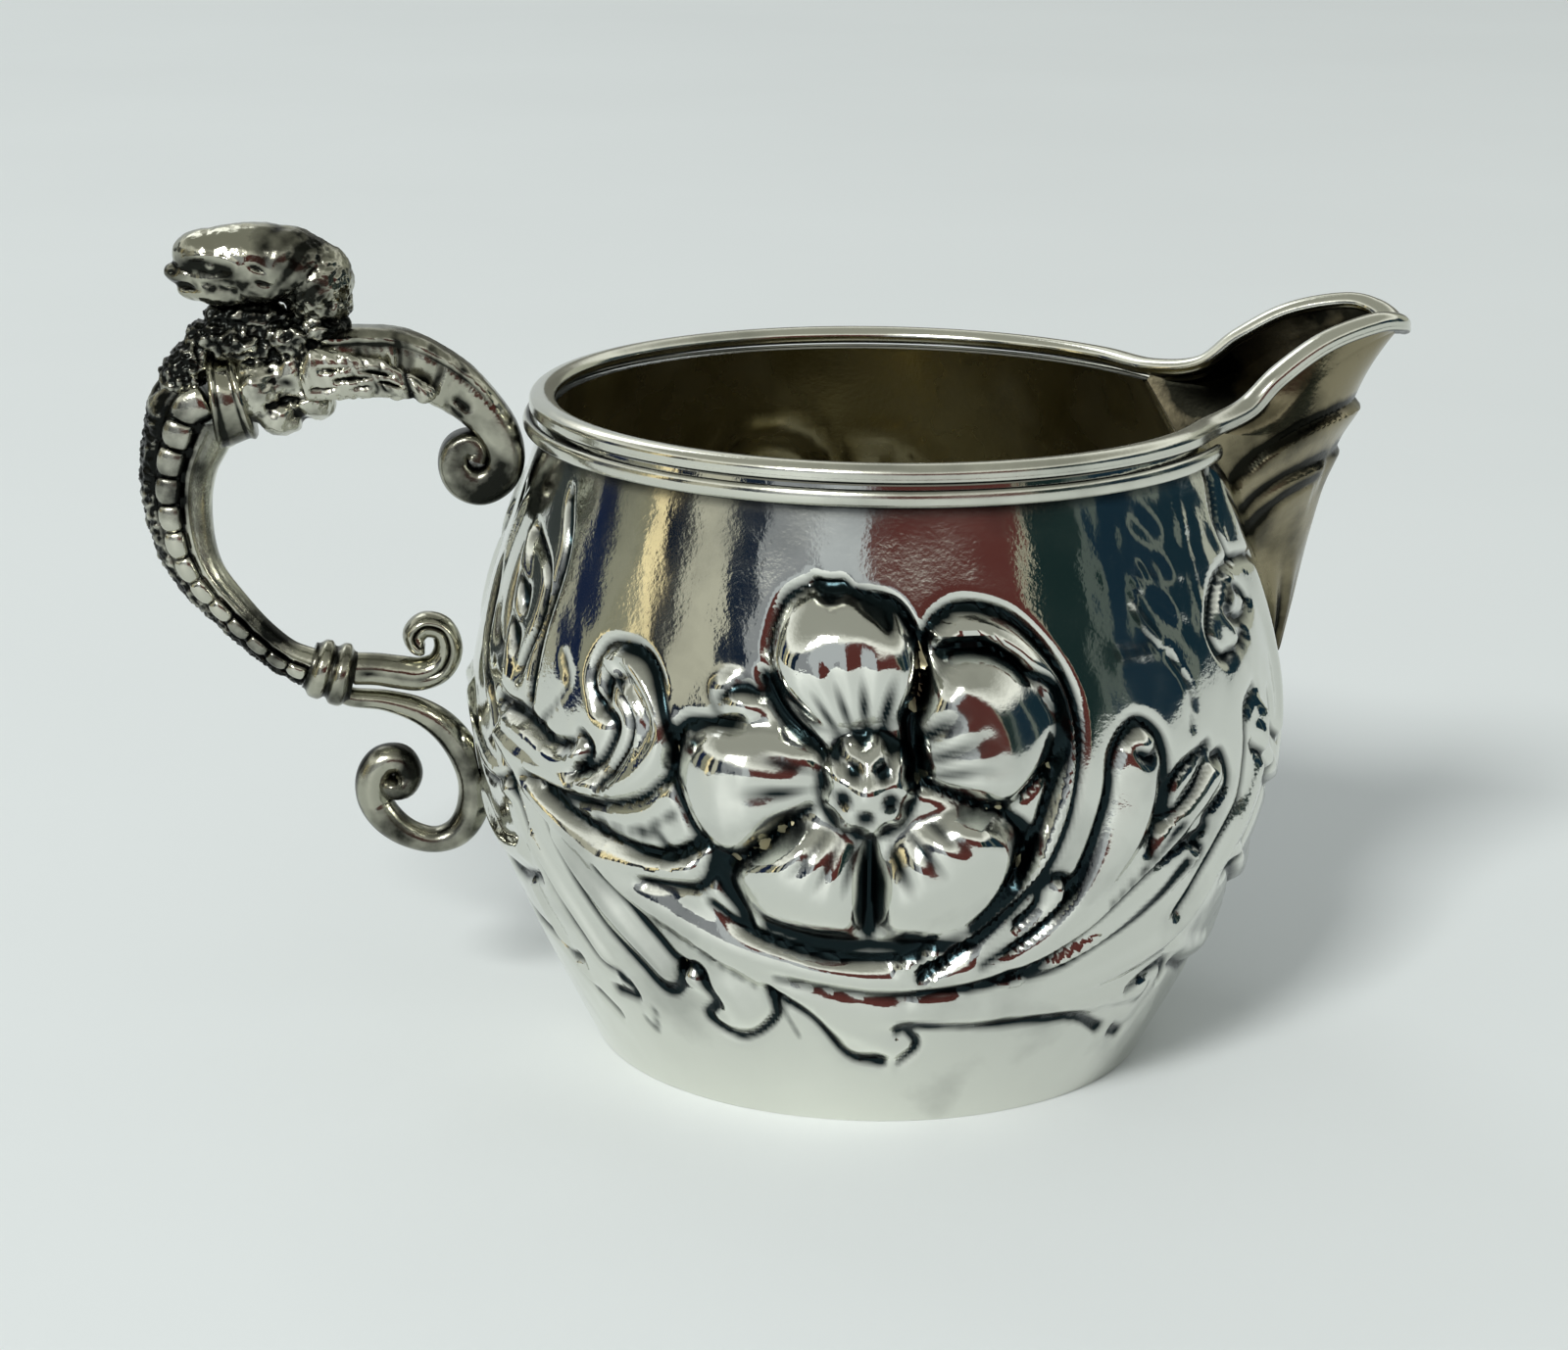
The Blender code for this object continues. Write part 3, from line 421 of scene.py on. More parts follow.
def chased_relief(x, z):
    """Lift of the outside over the plain wall, and how dark each place is: tarnish in the lines, with
    painted reflection in the petals and painted shade near the rim.
    """
    lift = np.zeros(x.shape)
    dark = np.zeros(x.shape)
    for points, sizes, high in RIBS:
        near, _ = nearness(x, z, smooth_line(points), sizes)
        lift = np.maximum(lift, high * np.clip(1 - (near / 1.35) ** 2, 0, 1) ** 1.7)
        lift = lift - 0.10 * soft_line(near, 1.45, 0.3)
    for outline, high, crest in PETALS:
        edge = smooth_line(outline, closed=True)
        inside = within(x, z, edge)
        depth, _ = nearness(x, z, edge, (1.0,))
        fan = np.arctan2(z - FLOWER[1], x - FLOWER[0])
        away = np.hypot(x - FLOWER[0], z - FLOWER[1])
        climb = climbs(away, BOSS_EDGE, crest - BOSS_EDGE) ** 1.2
        fall = climbs(away, crest, 5.0)
        slope = 0.22 + 0.78 * climb - 0.55 * fall ** 1.3
        slope = slope - 0.12 * soft_line(away, crest, 0.8)
        wave = np.sin(23 * fan + 1.5 * np.sin(3 * fan))
        folds = 0.30 * wave * climb * soft_line(away, 7.6, 2.6)
        shape = high * slope * (1 - np.exp(-(depth / 1.1) ** 1.3)) + folds * np.minimum(depth, 1)
        lift = np.where(inside, np.maximum(shape, 0), lift)
        dark = np.maximum(dark, 0.55 * soft_line(depth, 0, 0.35))
        # Painted reflection: dark radial streaks towards the flower's middle stand in for the dark
        # reflections seen on the petals.
        painted_reflection_streak = (0.5 - 0.5 * wave) ** 2 * soft_line(away, 6.6, 2.8)
        dark = np.where(inside, np.maximum(dark, 0.95 * painted_reflection_streak), dark)
    across, up = (x - FLOWER[0]) / BOSS_WIDTH, (z - FLOWER[1]) / BOSS_HEIGHT
    span = np.hypot(across, up)
    boss = BOSS_LIFT * np.sqrt(np.clip(1 - span ** 2, 0, 1))
    for share, count, size, first in BOSS_PITS:
        for k in range(count):
            angle = first + 2 * math.pi * k / count
            gap = np.hypot(across - share * math.cos(angle), up - share * math.sin(angle)) * 4.1
            pit = np.exp(-(gap / (0.75 * size)) ** 2)
            boss -= 1.5 * pit
            dark = np.maximum(dark, np.clip(1.5 * pit - 0.2, 0, 1) * (span < 1.1))
    lift = np.where(span < 1, np.maximum(boss, 0.2), lift)
    dark = np.maximum(dark, soft_line(span, 1.05, 0.09))
    for points, widths in LINES:
        _, past = nearness(x, z, smooth_line(points), [0.5 * w + LINE_HEM for w in widths])
        cut = 1 / (1 + np.exp(np.clip(past / LINE_SOFT, -30, 30)))
        lift = lift - LINE_DEPTH * cut
        dark = np.maximum(dark, np.clip(1.5 * cut - 0.15, 0, 1))
    for points, count in DOTS:
        line = smooth_line(points, 12)
        for k in range(count):
            spot = line[round(k * (len(line) - 1) / (count - 1))]
            gap = np.hypot(x - spot[0], z - spot[1])
            lift = lift - 0.4 * soft_line(gap, 0, 0.34)
            dark = np.maximum(dark, soft_line(gap, 0, 0.34))
    for spot in BEADS:
        gap = np.hypot(x - spot[0], z - spot[1])
        lift = lift + 0.30 * soft_line(gap, 0, 0.38)
        dark = np.maximum(dark, 0.5 * soft_line(gap, 0.62, 0.2))
    dents = 0.05 * np.sin(0.55 * x + 1.3 * np.sin(0.21 * z)) * np.sin(0.4 * z + 0.9 * np.sin(0.3 * x))
    dents += 0.03 * np.sin(1.3 * x + 2) * np.sin(0.9 * z + np.sin(0.7 * x))
    beaten = np.exp(-((x - 27) / 9) ** 4 - ((z - 50) / 6.5) ** 4)
    dents += 0.13 * beaten * np.sin(1.1 * x + 0.8 * z) * np.sin(0.9 * z - 0.5 * x + 1.2 * np.sin(0.5 * x))
    dents *= 1 - 0.75 / (1 + np.exp(np.clip(46.5 - z, -20, 20))) / (1 + np.exp(np.clip(x - 16, -20, 20)))
    # Painted shade: a dark line on the wall just below the rim bead.
    dark = np.maximum(dark, 0.8 * soft_line(z, WALL_TOP - 1.75, 0.35))
    # Painted shade: the whole upper band is painted a little darker, dimming its reflections.
    dark = dark + 0.16 * climbs(z, 51, 5)
    return lift + dents, np.clip(dark, 0, 1)


def mark_points(piece, name, values):
    """Keep a number on each vertex, such as how dark its tarnish and painted shade are, where 1 is full."""
    mark = piece.data.attributes.new(name, "FLOAT", "POINT")
    mark.data.foreach_set("value", np.clip(values, 0, 1))


def tidy_shell(piece, angle=40):
    """Close the seams of a shell, turn its faces outwards and shade it smooth."""
    bpy.ops.object.select_all(action="DESELECT")
    piece.select_set(True)
    bpy.context.view_layer.objects.active = piece
    bpy.ops.object.mode_set(mode="EDIT")
    bpy.ops.mesh.select_all(action="SELECT")
    bpy.ops.mesh.remove_doubles(threshold=1e-6)
    bpy.ops.mesh.normals_make_consistent(inside=False)
    bpy.ops.object.mode_set(mode="OBJECT")
    bpy.ops.object.shade_smooth_by_angle(angle=math.radians(angle))
    piece.select_set(False)


levels = np.concatenate([np.linspace(*band)[:-1] for band in ROW_BANDS] + [[WALL_TOP]])
notch = np.radians(NOTCH_ANGLE) * climbs(levels, NOTCH_FOOT, WALL_TOP - NOTCH_FOOT) ** NOTCH_CURVE
half_share = np.linspace(0, 1, BODY_COLUMNS // 2 + 1)
half_angle = notch[:, None] + (math.pi - notch[:, None]) * half_share
panel_x = BELLY_RADIUS * (math.pi / 2 - half_angle)
panel_z = np.repeat(levels[:, None], len(half_share), axis=1)
half_lift, half_dark = chased_relief(panel_x, panel_z)
for field in (half_lift, half_dark):
    field[1:-1] = 0.25 * field[:-2] + 0.5 * field[1:-1] + 0.25 * field[2:]
    field[:, 1:-1] = 0.25 * field[:, :-2] + 0.5 * field[:, 1:-1] + 0.25 * field[:, 2:]
half_dark = np.clip(1.4 * half_dark - 0.08, 0, 1)
calm = climbs(panel_z, WALL_FOOT, 3) * falls(panel_z, WALL_TOP, 3)
calm *= climbs(half_angle, notch[:, None], 0.03) ** (panel_z > NOTCH_FOOT - 2)
half_lift = half_lift * calm
angle = np.hstack([-half_angle, half_angle[:, -2::-1]])
lift = np.hstack([half_lift, half_lift[:, -2::-1]])
dark = np.hstack([half_dark, half_dark[:, -2::-1]])


def body_places(z, angle, lift, drop):
    """Places on the body's wall, lifted by its relief and dropped by the sheet's thickness."""
    radius = wall_radius(z)[:, None] + lift - drop
    return np.dstack([radius * np.cos(angle), radius * np.sin(angle),
                      np.repeat(z[:, None], angle.shape[1], axis=1)])


def chased_body():
    """The outside as a fine grid and the inside as a coarse one, stitched along their borders."""
    outside = body_places(levels, angle, lift, 0.0)
    soft = lift.copy()
    for _ in range(INSIDE_SOFTENING):
        soft[1:-1, 1:-1] = 0.25 * (soft[:-2, 1:-1] + soft[2:, 1:-1] + soft[1:-1, :-2] + soft[1:-1, 2:])
    inside = body_places(levels[::COARSE], angle[::COARSE, ::COARSE], soft[::COARSE, ::COARSE], WALL)
    rows, columns = outside.shape[:2]
    few_rows, few_columns = inside.shape[:2]
    out = np.arange(rows * columns).reshape(rows, columns)
    inn = rows * columns + np.arange(few_rows * few_columns).reshape(few_rows, few_columns)
    faces = [(out[i, k], out[i, k + 1], out[i + 1, k + 1], out[i + 1, k])
             for i in range(rows - 1) for k in range(columns - 1)]
    faces += [(inn[i, k], inn[i + 1, k], inn[i + 1, k + 1], inn[i, k + 1])
              for i in range(few_rows - 1) for k in range(few_columns - 1)]
    first_free = int(np.searchsorted(levels, NOTCH_FOOT) // COARSE * COARSE)
    borders = [(out[0], inn[0]), (out[-1][::-1], inn[-1][::-1]),
               (out[first_free:, 0][::-1], inn[first_free // COARSE:, 0][::-1]),
               (out[first_free:, -1], inn[first_free // COARSE:, -1])]
    for fine, coarse in borders:
        for k in range(len(coarse) - 1):
            edge = fine[COARSE * k:COARSE * k + COARSE + 1]
            faces.append(tuple(edge[::-1]) + (coarse[k], coarse[k + 1]))
    mesh = bpy.data.meshes.new("chased_body")
    vertices = np.vstack([outside.reshape(-1, 3), inside.reshape(-1, 3)]) * MM
    mesh.from_pydata(vertices.tolist(), [], [tuple(int(v) for v in face) for face in faces])
    piece = bpy.data.objects.new("chased_body", mesh)
    bpy.context.scene.collection.objects.link(piece)
    full = np.ones(inside[..., 0].size)
    mark_points(piece, "tarnish_and_shade", np.concatenate([dark.ravel(), 0 * full]))
    mark_points(piece, "inner", np.concatenate([0 * dark.ravel(), full]))
    tidy_shell(piece)
    return piece


def silver(name, bright, tarnish_and_shade, gloss, grain, worn=0.5, patch=70):
    """Silver with old tarnish and painted shade: clean where that vertex mark is 0 and dark where it is 1.

    gloss is the roughness range of the clean metal, grain the bump's depth in millimetres, worn the
    strength of the cloudy patches, and patch how many of them there are to a metre.
    """
    material = bpy.data.materials.new(name)
    material.use_nodes = True
    tree = material.node_tree
    metal = tree.nodes["Principled BSDF"]
    metal.inputs["Metallic"].default_value = 1.0
    place = added(tree, "TexCoord", "Object")

    def cloudy(scale, detail):
        return added(tree, "TexNoise", "Fac", {"Vector": place, "Scale": scale, "Detail": detail})

    def mapped(value, *ranges):
        return added(tree, "MapRange", "Result", {"Value": value, **dict(enumerate(ranges, 1))})

    def mixed(factor, first, second):
        return added(tree, "Mix", "Result", {"Factor": factor, "A": first, "B": second}, data_type="RGBA")

    def plus(first, second, share):
        return maths(tree, "ADD", first, maths(tree, "MULTIPLY", second, share, clamp=True), clamp=True)

    depth = added(tree, "Attribute", "Fac", attribute_name="tarnish_and_shade")
    soil = plus(depth, mapped(cloudy(patch, 5), 0.38, 0.72, 0.0, worn), 0.35)
    clean = mixed(mapped(cloudy(45, 3), 0.35, 0.7, 0.0, 1.0), bright, tuple(0.93 * c for c in bright))
    colour = mixed(mapped(soil, 0.25, 0.95, 0.0, 1.0), clean, tarnish_and_shade)
    tree.links.new(colour, metal.inputs["Base Color"])
    rough = plus(mapped(cloudy(160, 4), 0.3, 0.7, *gloss), soil, 0.14)
    tree.links.new(rough, metal.inputs["Roughness"])
    fine = maths(tree, "MULTIPLY", cloudy(420, 4), 0.7, clamp=True)
    bump = added(tree, "Bump", "Normal", {"Distance": grain * MM, "Strength": 0.5,
                                          "Height": plus(fine, cloudy(2600, 2), 0.3)})
    tree.links.new(bump, metal.inputs["Normal"])
    return material


body = chased_body()
body.data.materials.append(silver("chased_silver", (0.73, 0.74, 0.68), (0.010, 0.017, 0.019),
                                  (0.03, 0.10), 0.07, 1.3))
# The inside: a gilt tone with tarnish clouds, darkened as painted shade because the inside of the jug lies
# in shade.
inside_silver = silver("tarnished_and_shaded_inside", (0.34, 0.31, 0.20), (0.05, 0.046, 0.03), (0.16, 0.34), 0.10,
                       1.2)
body.data.materials.append(inside_silver)
inside_mark = np.empty(len(body.data.vertices))
body.data.attributes["inner"].data.foreach_get("value", inside_mark)
for face in body.data.polygons:
    if all(inside_mark[v] > 0.5 for v in face.vertices):
        face.material_index = 1
body.data.attributes.remove(body.data.attributes["inner"])
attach(body, "root")
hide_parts("body_shell")

# --- base disc --------------------------------------------------------------------------------
# The flat disc that closes the foot of the body, soldered inside its lower edge. Its rim shows as
# a fine line on the table.

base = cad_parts["base_plate"]
base.data.materials.clear()
base.data.materials.append(silver("base_silver", (0.88, 0.88, 0.85), (0.10, 0.10, 0.09),
                                  (0.16, 0.34), 0.06))

# --- spout ------------------------------------------------------------------------------------
# A beaked sheet of the same silver, chased with overlapping shell flutes that sweep down from the
# front edge, and longer ones that run into its foot. Soldered over the notch in the body.

LIP_CENTRE = 1000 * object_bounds()[0][2] + 60.15
LIP_RADIUS, LIP_REACH, LIP_CREST, LIP_TIP_RISE = 30.8, 16.8, 7.7, 6.5
SPOUT_SHEET, SPOUT_CORNER, SHEET_DROP = 0.8, 0.6, 0.5
SPOUT_ROWS, SPOUT_COLUMNS = 170, 150
FLUTES = (                       # height of the upper edge at the front and at the root, depth, and
    (60.2, 53.2, 0.9, 0.0, 1.2),     # the shares of the way to the front between which it runs
    (55.8, 54.6, 0.5, 0.84, 1.2),
    (55.6, 50.8, 0.6, 0.0, 0.86),
    (54.0, 48.6, 0.5, 0.0, 0.80),
)
SPOUT_FOOT_PROUD = 0.35          # how far its foot stands off the wall
SPOUT_EVENING = 260              # rounds of smoothing that bring its rows up to the front evenly


def lip_edge():
    """Centre line of the lip wire along one side of the spout, from its root to the tip."""
    root = math.radians(NOTCH_ANGLE)
    side = LIP_RADIUS * math.sin(root)
    steps = ((0.05, 0.74, 0.12), (0.24, 0.65, 0.48), (0.50, 0.55, 0.83), (0.79, 0.40, 1.0),
             (0.94, 0.25, 0.96))
    line = [(LIP_RADIUS * math.cos(root), side, LIP_CENTRE)]
    line += [(LIP_RADIUS + f * LIP_REACH, w * side, LIP_CENTRE + h * LIP_CREST) for f, w, h in steps]
    return np.array(line + [(LIP_RADIUS + LIP_REACH, 0.0, LIP_CENTRE + LIP_TIP_RISE)])


def spout_frame(share):
    """Points on the spout's rear or upper edge and on its front edge, at shares of its height."""
    rise = climbs(share, 0, SPOUT_CORNER)
    z = NOTCH_FOOT + (WALL_TOP - NOTCH_FOOT) * rise
    turn = math.radians(NOTCH_ANGLE) * rise ** NOTCH_CURVE
    radius = wall_radius(z) - WALL / 2
    side = np.stack([radius * np.cos(turn), radius * np.sin(turn), z], axis=1)
    edge = smooth_line(lip_edge(), 12)
    along = climbs(share, SPOUT_CORNER, 1 - SPOUT_CORNER) * (len(edge) - 1)
    upper = np.stack([np.interp(along, np.arange(len(edge)), edge[:, k]) for k in range(3)], axis=1)
    upper[:, 2] -= SHEET_DROP
    side = np.where((share > SPOUT_CORNER)[:, None], upper, side)
    start = np.array([float(wall_radius(np.array(NOTCH_FOOT))) + SPOUT_FOOT_PROUD, 0, NOTCH_FOOT])
    tip = np.array([LIP_RADIUS + LIP_REACH, 0, LIP_CENTRE + LIP_TIP_RISE - SHEET_DROP])
    climb = tip[2] - start[2]
    lower, beak = start + [3.4, 0, 0.55 * climb], tip - [4.4, 0, 0.12 * climb]
    s, r = share[:, None], 1 - share[:, None]
    return side, start * r ** 3 + lower * 3 * r ** 2 * s + beak * 3 * r * s ** 2 + tip * s ** 3


def fluted_lift(z, near_front):
    """Lift and darkening of the spout's flutes: painted shade along each ledge, tarnish in the valleys;
    near_front is 1 on the front edge and 0 at the root.
    """
    lift, dark = np.zeros(z.shape), np.zeros(z.shape)
    for front, root, deep, first, last in FLUTES:
        down = front - (front - root) * (1 - near_front) ** 2.4 - z
        runs = climbs(near_front, first, 0.08) * falls(near_front, last, 0.08)
        lift = np.maximum(lift, deep * runs * climbs(down, 0, 0.5) * soft_line(down, 0, 2.6))
        # Painted shade: a dark band along each flute's ledge, standing in for its shadow.
        dark = np.maximum(dark, runs * soft_line(down, -0.35, 0.65))
    low = falls(z, 47, 6)
    wave = 0.5 * np.cos(5.5 * math.pi * near_front ** 0.8)
    lift += 0.42 * low * (0.5 + wave)
    dark = np.maximum(dark, 0.5 * low * (0.5 - wave) ** 4)
    fade = climbs(near_front, 0, 0.10) * climbs(z, NOTCH_FOOT, 2)
    return lift * fade, dark * climbs(near_front, 0, 0.05)


def vertex_places(piece):
    """Places of a mesh's vertices in millimetres."""
    flat = np.empty(3 * len(piece.data.vertices))
    piece.data.vertices.foreach_get("co", flat)
    return flat.reshape(-1, 3) / MM


def move_vertices(piece, places):
    """Put a mesh's vertices at places in millimetres."""
    piece.data.vertices.foreach_set("co", (places * MM).ravel())


def capped(places, tone):
    """A tube's grid of places and its tarnish and painted shade, with both ends drawn in to a point."""
    first, last = (np.repeat(end.mean(axis=1, keepdims=True), places.shape[1], axis=1)
                   for end in (places[:1], places[-1:]))
    return np.concatenate([first, places, last]), np.concatenate([tone[:1], tone, tone[-1:]])


def cast_grid(name, places, tone, angle=40):
    """A shell from a grid primitive, carried to places[row, column], with its tarnish and painted shade on
    it.
    """
    rows, columns = places.shape[:2]
    bpy.ops.mesh.primitive_grid_add(x_subdivisions=columns - 1, y_subdivisions=rows - 1, size=2)
    piece = bpy.context.object
    piece.name = piece.data.name = name
    flat = vertex_places(piece) * MM
    column = np.rint((flat[:, 0] + 1) / 2 * (columns - 1)).astype(int)
    row = np.rint((flat[:, 1] + 1) / 2 * (rows - 1)).astype(int)
    move_vertices(piece, places[row, column])
    mark_points(piece, "tarnish_and_shade", tone[row, column])
    tidy_shell(piece, angle)
    return piece


def spout_piece():
    """The spout as a closed sheet: the fluted outer grid, and a smooth inner one."""
    share = np.linspace(0.03, 0.965, SPOUT_ROWS + 1)
    side, front = spout_frame(share)
    turn = np.linspace(0, math.pi, SPOUT_COLUMNS + 1)
    forward, across = np.sin(turn), np.cos(turn)
    outer = np.empty((len(share), len(turn), 3))
    outer[..., 0] = side[:, :1] + (front[:, :1] - side[:, :1]) * forward
    outer[..., 1] = side[:, 1:2] * np.sign(across) * np.abs(across) ** 1.15
    outer[..., 2] = side[:, 2:] + (front[:, 2:] - side[:, 2:]) * forward
    even = outer.copy()
    for _ in range(SPOUT_EVENING):
        even[1:-1] = 0.25 * even[:-2] + 0.5 * even[1:-1] + 0.25 * even[2:]
    outer += (even - outer) * np.clip(3.5 * forward, 0, 1)[None, :, None]
    up = np.gradient(outer, axis=0)
    normal = np.cross(up, np.gradient(outer, axis=1))
    normal /= np.linalg.norm(normal, axis=2, keepdims=True) + 1e-9
    lift, dark = fluted_lift(outer[..., 2], np.broadcast_to(forward, outer.shape[:2]))
    inner = outer - normal * SPOUT_SHEET
    half = SPOUT_COLUMNS // 2
    thin = np.abs(np.arange(SPOUT_COLUMNS + 1) - half) * 0.006
    inner[..., 1] = np.where(np.arange(SPOUT_COLUMNS + 1) < half, np.maximum(inner[..., 1], thin),
                             np.minimum(inner[..., 1], -thin))
    outer = outer + normal * lift[..., None]
    ring = np.concatenate([outer, inner[:, ::-1], outer[:, :1]], axis=1)
    # Painted shade: the spout's inner side is painted 0.62 dark all over, as it lies in shade.
    tone = np.concatenate([dark, 0.62 + 0 * dark, dark[:, :1]], axis=1)
    return cast_grid("fluted_spout", *capped(ring, tone))


def finish_piece(piece, node, material):
    """Give a piece its finish, its body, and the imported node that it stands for."""
    piece.data.materials.append(material)
    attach(piece, "root")
    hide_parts(node)


spout_silver = silver("spout_silver", (0.27, 0.235, 0.15), (0.010, 0.010, 0.007), (0.12, 0.28), 0.12,
                      2.2, patch=150)
finish_piece(spout_piece(), "spout", spout_silver)

# --- lip wire ---------------------------------------------------------------------------------
# A drawn wire with a broad round roll and a fine reed under its outer edge, bent round the rim and
# out along the spout, and soldered on. It hides the sheet's raw edge.

LIP_ROLL = (0.0, 0.04, 1.2, 0.82)      # outward and upward place, half width, half height
LIP_REED = (0.62, -0.42, 0.60, 0.40)
WIRE_SIDES = 44
SECTION_MIDDLE = -0.15                 # height of the place that the outline is measured from


def reeded_section():
    """Outline of the wire's section: the outer edge of two ovals seen from their middle."""
    turn = np.linspace(0, 2 * math.pi, WIRE_SIDES + 1)
    reach = np.zeros(turn.shape)
    for out, up, wide, high in (LIP_ROLL, LIP_REED):
        c, s = np.cos(turn) / wide, np.sin(turn) / high
        px, pz = -out / wide, (SECTION_MIDDLE - up) / high
        a, b, k = c * c + s * s, c * px + s * pz, px * px + pz * pz - 1
        root = b * b - a * k
        hit = np.where(root > 0, (-b + np.sqrt(np.maximum(root, 0))) / a, 0)
        reach = np.maximum(reach, hit)
    return reach * np.cos(turn), reach * np.sin(turn) + SECTION_MIDDLE


def along_path(path, sections, closed):
    """Places of (outward, upward) sections carried along a path, upright across it."""
    path = np.asarray(path)
    if closed:
        way = np.roll(path, -1, axis=0) - np.roll(path, 1, axis=0)
    else:
        way = np.gradient(path, axis=0)
    way /= np.linalg.norm(way, axis=1, keepdims=True)
    out = np.cross(way, (0, 0, 1.0))
    out /= np.linalg.norm(out, axis=1, keepdims=True)
    up = np.cross(out, way)
    return path[:, None] + out[:, None] * sections[..., :1] + up[:, None] * sections[..., 1:]


def lip_wire_piece():
    """The reeded wire, run once round the rim and the spout."""
    root = math.radians(NOTCH_ANGLE)
    turns = np.linspace(-math.pi, -root, 13)[:-1]
    rim = np.stack([LIP_RADIUS * np.cos(turns), LIP_RADIUS * np.sin(turns), 0 * turns + LIP_CENTRE], axis=1)
    spout = lip_edge()
    near = spout * [1, -1, 1]
    far_rim = (rim[1:] * [1, -1, 1])[::-1]
    path = smooth_line(np.vstack([rim, near[:-1], spout[::-1], far_rim]), 12, closed=True)[:-1]
    out, up = reeded_section()
    section = np.broadcast_to(np.stack([out, up], axis=1), (len(path), len(out), 2))
    places = along_path(path, section, closed=True)
    places = np.concatenate([places, places[:1]])
    # Painted shade: the lower part of the wire's section, its underside, is painted dark.
    groove = falls(up, -0.55, 0.12)
    return cast_grid("reeded_lip_wire", places, np.broadcast_to(groove, places.shape[:2]))


wire_silver = silver("wire_silver", (0.68, 0.68, 0.60), (0.02, 0.024, 0.022), (0.08, 0.22), 0.05, 1.5)
finish_piece(lip_wire_piece(), "lip_wire", wire_silver)

# --- rim bead ---------------------------------------------------------------------------------
# A second half-round wire, soldered to the wall just below the lip. Its ends taper and round off
# where the spout begins.

BEAD_DEPTH, BEAD_HEIGHT, BEAD_TAPER = 1.3, 1.5, 3.5
BEAD_STEPS = 420


def rim_bead_piece():
    """The bead with its rounded ends."""
    turns = np.linspace(NOTCH_ANGLE, 360 - NOTCH_ANGLE, BEAD_STEPS)
    ends = np.minimum(turns - NOTCH_ANGLE, 360 - NOTCH_ANGLE - turns) / BEAD_TAPER
    size = np.sqrt(1 - (1 - np.clip(ends, 0, 1)) ** 2)
    size[[0, -1]] = 0
    angle = np.radians(turns)
    radius = float(wall_radius(np.array(WALL_TOP - BEAD_HEIGHT))) + 0.2
    centre = WALL_TOP - BEAD_HEIGHT / 2
    path = np.stack([radius * np.cos(angle), radius * np.sin(angle), 0 * angle + centre], axis=1)
    turn = np.linspace(0, 2 * math.pi, 25)
    deep = BEAD_DEPTH * (0.5 + 0.5 * np.cos(turn)) ** 0.7
    section = np.stack([size[:, None] * deep, size[:, None] * 0.5 * BEAD_HEIGHT * np.sin(turn)], axis=2)
    edge = np.abs(np.sin(turn)) ** 8
    places = along_path(path, section, closed=False)
    return cast_grid("half_round_bead", places, np.broadcast_to(edge, places.shape[:2]))


finish_piece(rim_bead_piece(), "rim_bead", wire_silver)

# --- handle: the beast's tail -----------------------------------------------------------------
# A casting that tapers down to a collar, with a rough mane on its outer edge, a row of raised
# scales on each flat side, and a smooth roll on the side that the fingers meet.

TAIL = ((52.3, 35.4, 3.6, 3.4), (54.5, 36.5, 3.3, 3.4), (57.0, 38.6, 3.4, 3.6), (59.4, 41.2, 3.8, 4.0),
        (61.6, 43.9, 4.4, 4.5), (62.9, 46.6, 5.2, 5.0), (63.5, 49.4, 5.8, 5.4), (63.7, 52.2, 6.4, 5.8),
        (63.4, 54.9, 7.0, 6.2), (62.7, 57.2, 7.8, 6.5), (61.8, 59.4, 8.6, 6.7), (60.3, 60.2, 8.6, 6.8))
SCALE_COUNT = 13
TAIL_ROWS, TAIL_SIDES = 260, 96


def roughened(size, reach, side, height):
    """A rough pattern between 0 and 1, with knobs of about the given size."""
    places = np.stack([reach.ravel(), side.ravel(), height.ravel()], axis=1) / size
    coarse = np.array([noise.noise(Vector(place)) for place in places])
    fine = np.array([noise.noise(Vector(2.3 * place)) for place in places])
    return np.clip(0.5 + 0.75 * coarse + 0.4 * fine, 0, 1).reshape(reach.shape)


def cast_rod(name, stations, rows, sides, relief, roundness=1.0, middle=0.0, round_ends=0.0):
    """A casting swept in the handle's plane: stations of (reach, height, width, depth).

    relief(share, turn, reach, height) gives the lift in millimetres and the darkening: tarnish, and painted
    shade in places. turn is 0 on the side that lies to the right of the way the stations run, seen with the
    spout on the right.
    """
    curve = smooth_line(stations, 24)
    gaps = np.hypot(*np.diff(curve[:, :2], axis=0).T)
    along = np.concatenate([[0], np.cumsum(gaps)]) / gaps.sum()
    share = np.linspace(0, 1, rows + 1)
    reach, height, width, depth = (np.interp(share, along, curve[:, k]) for k in range(4))
    way = np.stack([np.gradient(reach), np.gradient(height)], axis=1)
    way /= np.linalg.norm(way, axis=1, keepdims=True)
    turn = np.linspace(0, 2 * math.pi, sides + 1)
    wide = np.sign(np.cos(turn)) * np.abs(np.cos(turn)) ** roundness
    deep = np.sign(np.sin(turn)) * np.abs(np.sin(turn)) ** roundness
    grow = np.ones(share.shape)
    if round_ends:
        ends = np.minimum(share, 1 - share) * gaps.sum() / round_ends
        grow = np.sqrt(np.clip(1 - (1 - np.clip(ends, 0, 1)) ** 2, 0.02, 1))
    lift, dark = relief(share[:, None] + 0 * turn, turn + 0 * share[:, None],
                        reach[:, None] + 0 * turn, height[:, None] + 0 * turn)
    out = (0.5 * width * grow)[:, None] * wide + lift * np.cos(turn)
    off = (0.5 * depth * grow)[:, None] * deep + lift * np.sin(turn)
    places = np.dstack([-(reach[:, None] - way[:, 1:] * out), middle + off,
                        height[:, None] + way[:, :1] * out])
    return cast_grid(name, *capped(places, dark), angle=50)


